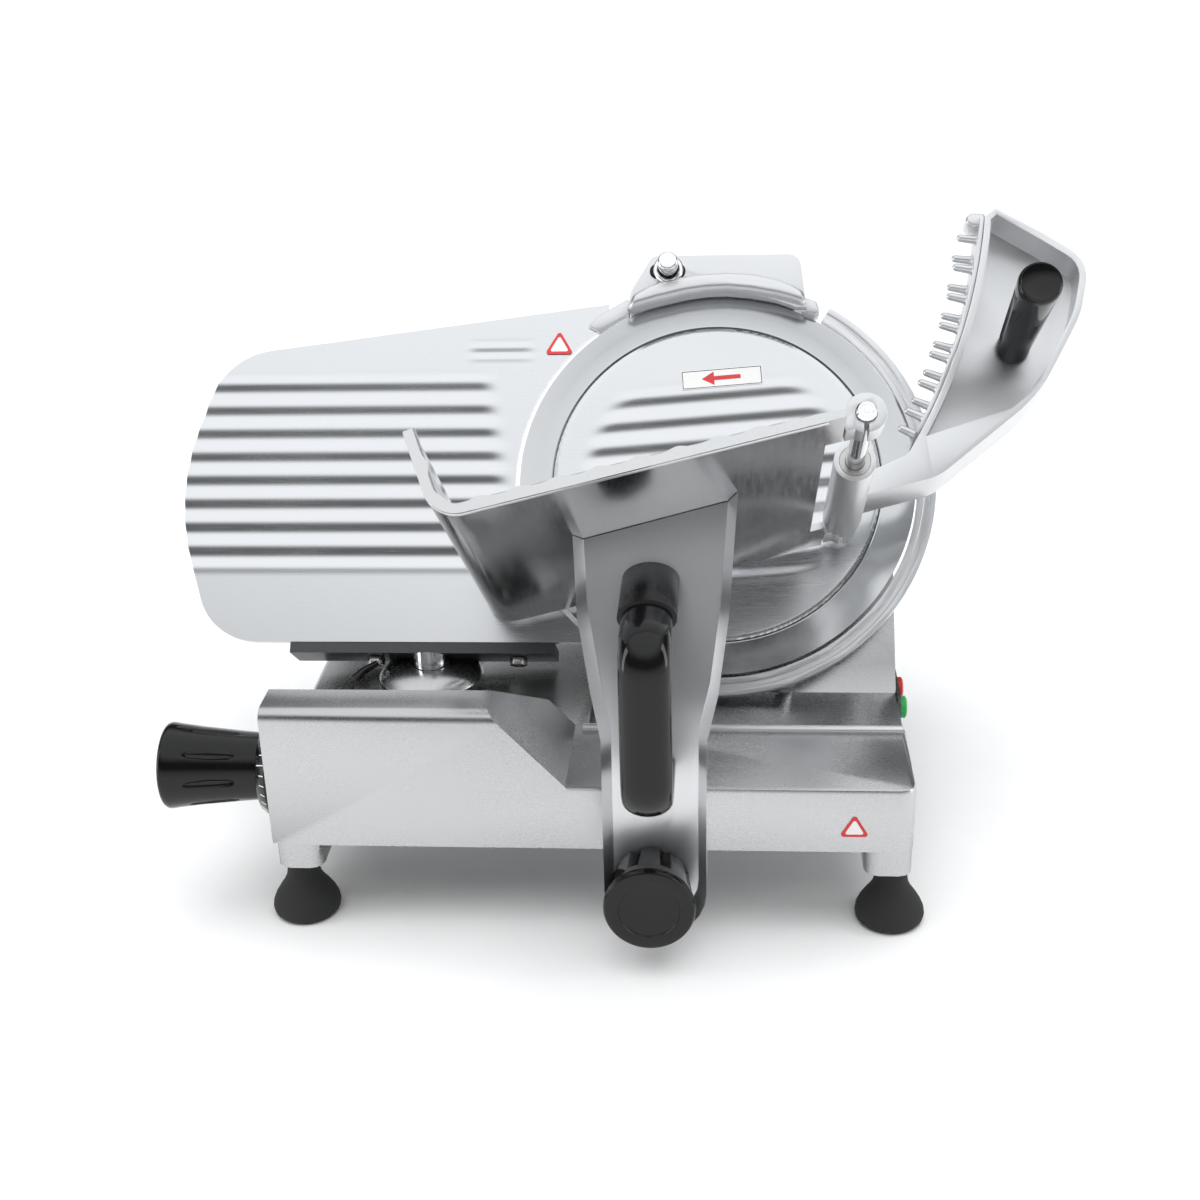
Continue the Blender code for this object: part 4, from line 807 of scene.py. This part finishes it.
class SLICER_OT_tray(PieceOperator, bpy.types.Operator):
    """Product tray: ribbed inside, smooth outside, with a bead along its near edge"""
    bl_idname = "slicer.tray"
    bl_label = "Product tray"

    def make(self, sizes):
        stations, run = tray_section(sizes)
        pitch = sizes.tray_pitch / MM
        inner = []
        outer = []
        for point, way, at in stations:
            normal = Vector((-way.y, way.x))
            edge = fade(-at, -6.0, 6.0) * fade(at, run - 16.0, 8.0)
            wave = (0.5 + 0.5 * math.cos(math.tau * at / pitch)) ** 2 * 1.5 * edge
            inner.append(point + normal * wave)
            outer.append(point - normal * TRAY_T)
        shell = slab([tuple(p) for p in inner + outer[::-1]], *TRAY_D)
        for near, far in ((6.4, 44.0), (203.0, 240.6)):
            left, right, skin = TRAY_FLOOR - 4, TRAY_FLOOR + 9, 0.4
            ear = [tray_point(left, -skin), tray_point(right, -skin),
                   tray_point(right, skin - TRAY_T), tray_point(left, skin - TRAY_T)]
            combine(shell, slab([tuple(p) for p in ear], near, far), "UNION")
        keep(shell, "tray_shell", "carriage", polished_tray(), LEAN,
             ("product_tray",), smooth=30.0)
        lip = sizes.lip_radius / MM
        line = [point - Vector((-way.y, way.x)) * (TRAY_T / 2 - 0.4)
                for point, way, _ in stations]
        bead = swept([(p.x, p.y, TRAY_D[1] - lip) for p in line], lip, 6)
        keep(bead, "tray_lip", "carriage", cast_aluminium(), LEAN)


class SLICER_OT_rod(PieceOperator, bpy.types.Operator):
    """Pusher rod with its two clamp lugs"""
    bl_idname = "slicer.rod"
    bl_label = "Pusher rod and lugs"

    def make(self, sizes):
        rod = [(0.0, 11.0), (4.6, 11.0), (5.3, 11.7), (5.3, 224.0), (4.5, 225.0), (3.4, 225.0),
               (3.2, 224.7), (1.5, 224.7), (1.3, 225.0), (0.0, 225.0)]
        place = LEAN @ Matrix.Translation(Vector((ROD_X, ROD_V, 0)) * MM)
        keep(turned(rod, 64), "pusher_rod_turned", "carriage", bright_chrome(),
             place, ("pusher_rod",))
        for node, near, far in (("rod_lug_far", 16.0, 36.0), ("rod_lug_near", 207.0, 222.0)):
            lug = round_off(copy_of(node), 1.3, 3)
            gap = block((ROD_X - 1.3, ROD_V - 13.0, near - 2), (ROD_X + 1.3, ROD_V - 4.0, far + 2))
            gap.matrix_world = LEAN
            combine(lug, gap, "DIFFERENCE")
            keep(lug, f"{node}_clamp", "carriage", cast_aluminium(), None,
                 (node,))


class SLICER_OT_carriage(PieceOperator, bpy.types.Operator):
    """Dished arm under the tray, its slide block and its D-shaped grip"""
    bl_idname = "slicer.carriage"
    bl_label = "Carriage"

    def make(self, sizes):
        softened("carriage_arm", 1.9, cast_aluminium(), 4)
        softened("carriage_block", 1.2, rough_casting(), 2)
        low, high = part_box("tray_handle")
        middle = (low.x + high.x) / 2
        front = low.y + 0.0089
        back = -0.1455
        top, foot = high.z - 0.009, low.z + 0.009
        bend = 0.017
        path = [(back, foot), (front + bend, foot)]
        for k in range(1, 9):
            t = math.pi / 2 * k / 9
            path.append((front + bend - bend * math.sin(t), foot + bend - bend * math.cos(t)))
        path.append((front, foot + bend))
        steps = 14
        for k in range(1, steps):
            path.append((front, foot + bend + (top - foot - 2 * bend) * k / steps))
        path.append((front, top - bend))
        for k in range(1, 9):
            t = math.pi / 2 * k / 9
            path.append((front + bend - bend * math.cos(t), top - bend + bend * math.sin(t)))
        path += [(front + bend, top), (back + 0.028, top)]
        grip = swept([(0.0, y / MM, z / MM) for y, z in path], 8.7, 10, flat=1.55)
        keep(grip, "tray_grip", "carriage", black_gloss(),
             Matrix.Translation((middle, 0, 0)), ("tray_handle",))


class SLICER_OT_knobs(PieceOperator, bpy.types.Operator):
    """Thickness knob and dial, lock knob and sharpener clamp knob"""
    bl_idname = "slicer.knobs"
    bl_label = "Knobs"

    def make(self, sizes):
        self.thickness(sizes)
        self.lock(sizes)
        softened("sharpener_clamp_knob", 0.6, black_gloss(), 2)

    def thickness(self, sizes):
        profile = [(5.4, 0.0), (18.6, 0.0), (19.4, 0.6), (19.6, 2.0), (20.6, 14.0), (22.8, 36.0),
                   (24.6, 50.0), (25.4, 54.0), (25.4, 56.0), (24.6, 57.4), (23.2, 58.0),
                   (21.0, 57.9), (20.2, 57.0), (0.0, 56.6), (0.0, 14.0), (5.4, 14.0)]
        order = profile[14:] + profile[:14]
        knob = turned(order, 128)
        flute(knob, sizes.flutes, [(22.6, 0, 12.0), (26.6, 0, 44.0)], smooth=True)
        round_off(knob, 0.5, 2, 40.0)
        keep(knob, "thickness_knob_fluted", "thickness_control", black_gloss(),
             on_left_side("thickness_knob"), ("thickness_knob",))
        place = on_left_side("thickness_dial")
        dial = turned([(5.4, 0.0), (29.2, 0.0), (30.0, 0.7), (30.0, 1.8), (29.6, 2.4),
                       (25.9, 7.6), (25.2, 8.0), (5.4, 8.0)], 128)
        keep(dial, "thickness_dial_turned", "thickness_control", black_gloss(),
             place, ("thickness_dial",))
        marks = None
        for k in range(DIAL_MARKS):
            long = k % 5 == 0
            mark = block((26.6 if long else 27.8, -0.28, 2.4), (29.75, 0.28, 5.0))
            for vert in mark.data.vertices:
                run = 29.75 - vert.co.x / MM
                vert.co.z = (2.35 + run * 1.4 + (0.16 if vert.co.z > 3.7 * MM else -0.4)) * MM
            mark.data.transform(Matrix.Rotation(math.tau * k / DIAL_MARKS, 4, "Z"))
            marks = joined(marks, mark)
        keep(marks, "thickness_dial_marks", "thickness_control", label_white(),
             place)

    def lock(self, sizes):
        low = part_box("carriage_lock_knob")[0]
        spot = Vector(JOINTS["carriage_lock_turn"]["pos_m"])
        place = Matrix.Translation((spot.x, low.y, spot.z)) @ Matrix.Rotation(
            -math.pi / 2, 4, "X")
        profile = [(0.0, 0.9), (16.4, 0.9), (16.8, 0.55), (17.0, 0.0), (23.0, 0.0), (24.6, 0.7),
                   (25.4, 2.4), (25.4, 4.4), (24.9, 5.6), (24.2, 8.0), (21.2, 31.0),
                   (20.4, 31.6), (4.0, 31.6), (4.0, 54.0), (0.0, 54.0)]
        knob = turned(profile, 128)
        flute(knob, sizes.flutes, [(26.8, 0, 11.0), (22.8, 0, 36.0)], phase=0.5)
        round_off(knob, 0.45, 2, 40.0)
        keep(knob, "carriage_lock_fluted", "carriage_lock", black_gloss(), place,
             ("carriage_lock_knob",))


def toothed_side(t, off):
    """Point off the pusher's toothed side and its outward direction, from its rod."""
    low, middle, high = Vector((43.4, 39.7)), Vector((78.0, 105.0)), Vector((85.4, 177.0))
    here = low * (1 - t) ** 2 + middle * 2 * t * (1 - t) + high * t ** 2
    way = ((middle - low) * (1 - t) + (high - middle) * t).normalized()
    normal = Vector((-way.y, way.x))
    return here + normal * off, normal


class SLICER_OT_pusher(PieceOperator, bpy.types.Operator):
    """Dished pusher on its sleeve, with the toothed plate and the black grip"""
    bl_idname = "slicer.pusher"
    bl_label = "Pusher"

    def make(self, sizes):
        softened("pusher_arm", 1.6, cast_aluminium(), 4)
        self.spikes()
        profile = [(0.0, 52.3), (9.4, 52.3), (10.0, 53.0), (10.0, 56.0), (9.6, 57.0),
                   (10.4, 80.0), (11.6, 120.0), (12.4, 144.0), (12.5, 147.0), (11.9, 149.2),
                   (10.9, 150.0), (10.5, 149.7), (0.0, 149.1)]
        grip = turned(profile, 96)
        for side in (-1, 1):
            flat = swept([(side * 17.4, 0, 70.0), (side * 18.6, 0, 138.0)], 8.6, 8)
            combine(grip, flat, "DIFFERENCE")
        round_off(grip, 0.5, 2, 40.0)
        place = LEAN @ Matrix.Translation(Vector((GRIP_X, GRIP_V, 0)) * MM)
        keep(grip, "pusher_grip", "pusher", black_gloss(), place,
             ("pusher_handle",))

    def spikes(self):
        """Toothed strip along the pusher's side: blunt cast spikes in pairs and a tab on top"""
        place = Matrix.Translation(PUSHER) @ Matrix.Rotation(LEAN_ANGLE, 4, "X")
        inner = [toothed_side(i / 24, 0.3)[0] for i in range(25)]
        outer = [toothed_side(i / 24, 2.8)[0] for i in range(24, -1, -1)]
        strip = slab([tuple(p) for p in inner + outer], 39.0, 75.0)
        round_off(strip, 0.35, 2, 40.0)
        keep(strip, "spike_strip", "pusher", cast_aluminium(), place,
             ("spike_plate",))
        teeth = None
        for row, level in enumerate((47.0, 67.0)):
            for i in range(SPIKES_IN_ROW):
                here, normal = toothed_side((i + 0.4 + 0.22 * row) / 7.2, 2.2)
                tip = here + normal * 12.6
                mid = here + normal * 2.0
                points = [(*here, level), (*mid, level), (*here.lerp(tip, 0.86), level),
                          (*here.lerp(tip, 0.96), level), (*tip, level)]
                tooth = swept(points, SPIKE_R, 5, (1.5, 1.0, 0.86, 0.62, 0.2))
                teeth = joined(teeth, tooth)
        keep(teeth, "spike_teeth", "pusher", cast_aluminium(), place,
             smooth=60.0)
        tab = slab([(86.0, 172.0), (86.0, 180.5), (78.0, 181.0), (74.5, 178.5), (74.5, 174.5),
                    (78.0, 172.0)], 58.0, 73.0)
        round_off(tab, 1.6, 3, 30.0)
        keep(tab, "spike_top_tab", "pusher", cast_aluminium(), place)


class SLICER_OT_sharpener(PieceOperator, bpy.types.Operator):
    """Clip-on sharpener with its brow, its two buttons and its post"""
    bl_idname = "slicer.sharpener"
    bl_label = "Sharpener"

    def make(self, sizes):
        shell = round_off(copy_of("sharpener_housing"), 2.4, 4)
        keep(shell, "sharpener_shell", "sharpener", cast_aluminium(), None,
             ("sharpener_housing",))
        self.brow()
        self.bracket()
        # Dark slab round the button ring: painted shade standing in for the shadow in the button's
        # recess
        recess_shade = slab(rounded([(-43.0, 130.5, 5), (-20.0, 130.5, 5), (-20.0, 141.0, 5),
                             (-43.0, 141.0, 5)]), 16.4, 17.6)
        round_off(recess_shade, 0.4, 2, 40.0)
        keep(recess_shade, "sharpener_button_painted_shade", "sharpener", black_turned(), LEAN)
        ring = turned([(6.6, 0.0), (9.2, 0.0), (9.6, 0.5), (9.6, 2.2), (9.0, 2.9), (7.2, 3.0),
                       (6.6, 2.6)], 64)
        keep(ring, "sharpener_button_ring", "sharpener", bright_chrome(),
             LEAN @ Matrix.Translation(Vector((-31.0, 136.0, 17.7)) * MM))
        softened("sharpener_post", 1.0, rough_casting(), 2)
        for node in ("deburr_button", "grind_button"):
            softened(node, 0.5, bright_chrome(), 2)

    def brow(self):
        """Raised band along the sharpener's mouth, between its ridge and its lip"""
        ridge = [(-54.6, 119.0), (-43.0, 125.5), (-30.5, 129.8), (-12.0, 132.8), (7.3, 133.8),
                 (24.0, 132.4), (38.0, 129.0), (48.0, 125.0), (56.4, 119.8)]
        lip = [(57.0, 109.8), (46.0, 113.6), (38.0, 116.0), (22.0, 119.2), (7.3, 120.8),
               (-6.0, 120.4), (-19.0, 118.6), (-38.0, 114.0), (-56.6, 108.4)]
        band = slab(ridge + lip, 6.0, 21.5)
        round_off(band, 4.6, 6, 30.0)
        keep(band, "sharpener_brow", "sharpener", cast_aluminium(), LEAN,
             smooth=60.0)

    def bracket(self):
        """Tab on the left that rests on the rim, and the small lug on the right"""
        tab = slab([(-83.6, 105.0), (-78.0, 111.5), (-58.0, 124.0), (-55.0, 120.0),
                    (-57.0, 112.0), (-64.0, 108.5), (-75.6, 100.4)], -6.0, 1.0)
        round_off(tab, 1.2, 3, 30.0)
        keep(tab, "sharpener_left_tab", "sharpener", cast_aluminium(), LEAN)
        lug = slab([(55.0, 111.0), (63.0, 108.0), (66.0, 111.0), (64.0, 118.0), (56.0, 121.0)],
                   -4.0, 8.0)
        round_off(lug, 1.4, 3, 30.0)
        keep(lug, "sharpener_right_lug", "sharpener", cast_aluminium(), LEAN)


class SLICER_OT_details(PieceOperator, bpy.types.Operator):
    """Bolts, lever and boss under the gauge plate, rail bead, latch tab and plain labels"""
    bl_idname = "slicer.details"
    bl_label = "Small details"

    def make(self, sizes):
        self.under_plate()
        bead = swept([(x, -129.5, 97.2) for x in (-78.0, 0.0, 110.0)], 3.0, 8)
        keep(bead, "front_rail_bead", "frame", cast_aluminium(), UPRIGHT)
        ferrule = swept([(-34.0, y, 214.0) for y in (-176.0, -226.0)], 10.4, 12)
        for vert in ferrule.data.vertices:
            vert.co.x = (vert.co.x + 0.034) * 1.5 - 0.034
        round_off(ferrule, 1.0, 2, 40.0)
        keep(ferrule, "grip_ferrule", "carriage", black_turned(), UPRIGHT)
        self.latch()
        self.labels()

    def under_plate(self):
        for name, x in (("gauge_bolt_left", -215.0), ("gauge_bolt_right", -124.0)):
            shape = arc(0, 0, 5.8, 0, 300, 6)
            head = slab(shape, 0.0, 5.0)
            round_off(head, 0.5, 2, 40.0)
            place = LEAN @ Matrix.Translation(Vector((x, -112.3, -14.0)) * MM)
            keep(head, name, "gauge", zinc(),
                 place @ Matrix.Rotation(math.pi / 2, 4, "X"))
        lever = swept([(-213.0, -117.0, -9.0), (-221.0, -122.0, -8.0), (-226.0, -128.0, -8.0)],
                      2.4, 6, (0.8, 1.0, 1.6))
        keep(lever, "gauge_lever", "gauge", black_gloss(), LEAN)
        boss = turned([(11.6, 0.0), (33.0, 0.0), (31.0, 2.6), (26.0, 5.0), (19.0, 6.8),
                       (13.0, 7.6), (11.6, 7.4)], 96)
        keep(boss, "column_boss", "gauge", base_casting(),
             UPRIGHT @ Matrix.Translation(Vector((-180.0, -60.0, 98.0)) * MM))

    def latch(self):
        tab = slab([(36.0, -46.0), (52.0, -42.0), (53.0, -47.0), (37.0, -51.0)], 225.0, 238.0)
        round_off(tab, 1.0, 2, 40.0)
        keep(tab, "tray_latch_tab", "carriage", zinc(), LEAN)

    def triangle(self, name, body, place, size):
        """A red-edged white triangle without any sign in it"""
        corners = [(-size, -0.58 * size, 1.6), (size, -0.58 * size, 1.6), (0, 1.15 * size, 1.6)]
        back = slab(rounded(corners, 5), 0.0, 0.25)
        keep(back, f"{name}_back", body, label_ink(), place)
        inner = [(0.66 * x, 0.66 * y, 1.0) for x, y, _ in corners]
        face = slab(rounded(inner, 5), 0.2, 0.35)
        keep(face, f"{name}_face", body, label_white(), place)

    def labels(self):
        tilt = Matrix.Rotation(COVER_TILT, 4, "Z")
        self.triangle("plate_label", "gauge", LEAN @ Matrix.Translation(
            Vector((-102.0, 92.0, -0.55)) * MM), 9.5)
        self.triangle("base_label", "frame", UPRIGHT @ Matrix.Translation(
            Vector((78.0, -198.05, 72.0)) * MM) @ FACE_FRONT, 8.5)
        place = LEAN @ Matrix.Translation(Vector((3.5, 69.5, -0.75)) * MM) @ tilt
        card = round_off(slab([(-26, -6.5), (26, -6.5), (26, 6.5), (-26, 6.5)], 0.0, 0.25), 0.1, 1)
        keep(card, "cover_label", "frame", label_white(), place)
        arrow = slab([(12, 1.4), (-5, 1.4), (-5, 4.6), (-13, 0), (-5, -4.6), (-5, -1.4),
                      (12, -1.4)], 0.2, 0.36)
        keep(arrow, "cover_label_arrow", "frame", label_ink(), place)
        rim = slab([(-25.4, -5.9), (25.4, -5.9), (25.4, 5.9), (-25.4, 5.9)], 0.2, 0.32)
        hole = slab([(-25.0, -5.5), (25.0, -5.5), (25.0, 5.5), (-25.0, 5.5)], 0.0, 1.0)
        combine(rim, hole, "DIFFERENCE")
        keep(rim, "cover_label_rim", "frame", black_turned(), place)


class SLICER_OT_remaining(PieceOperator, bpy.types.Operator):
    """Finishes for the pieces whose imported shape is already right"""
    bl_idname = "slicer.remaining"
    bl_label = "Remaining pieces"

    def make(self, sizes):
        shown = {
            "bearing_front": bright_chrome, "bearing_rear": bright_chrome,
            "cover_tie_rod": black_gloss, "motor_body": painted_steel,
            "drive_belt": foot_rubber, "rear_cover": brushed_plate,
            "rear_cover_screw_1": zinc, "rear_cover_screw_2": zinc,
            "cable_gland": black_gloss, "slice_deflector": brushed_plate,
            "switch_plate": painted_steel, "gauge_guide_rod": zinc, "carriage_rod": bright_chrome,
            "carriage_rail": bright_chrome, "blade_hub": zinc, "blade_shaft": zinc,
            "blade_pulley": rough_casting, "motor_shaft": zinc, "motor_pulley": zinc,
            "thickness_shaft": zinc, "thickness_cam": bearing_bronze,
            "gauge_slide_block": rough_casting, "cam_follower": zinc,
            "gauge_column": bright_chrome, "gauge_bar": painted_steel,
            "carriage_bush": bearing_bronze, "pusher_bush": zinc,
            "start_button": start_green, "stop_button": stop_red,
        }
        for node, finish in shown.items():
            ob = frame["nodes"][node]
            ob.data.materials.clear()
            ob.data.materials.append(finish())
            select_only(ob)
            bpy.ops.object.shade_smooth_by_angle(angle=math.radians(35.0))


class SLICER_PT_panel(bpy.types.Panel):
    """Lists the sizes, the colours and the operators"""
    bl_idname = "SLICER_PT_panel"
    bl_label = "Deli slicer"
    bl_space_type = "VIEW_3D"
    bl_region_type = "UI"
    bl_category = "Slicer"

    def draw(self, context):
        layout = self.layout
        for group in (context.scene.slicer_sizes, context.scene.slicer_colours):
            column = layout.column()
            for name in group.__annotations__:
                column.prop(group, name)
        for operator in OPERATORS:
            layout.operator(operator.bl_idname)


OPERATORS = (
    SLICER_OT_stage, SLICER_OT_base, SLICER_OT_gauge_plate, SLICER_OT_blade, SLICER_OT_guard,
    SLICER_OT_tray, SLICER_OT_rod, SLICER_OT_carriage, SLICER_OT_knobs, SLICER_OT_pusher,
    SLICER_OT_sharpener, SLICER_OT_details, SLICER_OT_remaining,
)
CLASSES = (SlicerSizes, SlicerColours, *OPERATORS, SLICER_PT_panel)


def register():
    for cls in CLASSES:
        bpy.utils.register_class(cls)
    bpy.types.Scene.slicer_sizes = bpy.props.PointerProperty(type=SlicerSizes)
    bpy.types.Scene.slicer_colours = bpy.props.PointerProperty(type=SlicerColours)


def unregister():
    del bpy.types.Scene.slicer_sizes
    del bpy.types.Scene.slicer_colours
    for cls in reversed(CLASSES):
        bpy.utils.unregister_class(cls)


def main():
    register()
    for operator in OPERATORS:
        area, name = operator.bl_idname.split(".")
        getattr(getattr(bpy.ops, area), name)()


if __name__ == "__main__":
    main()
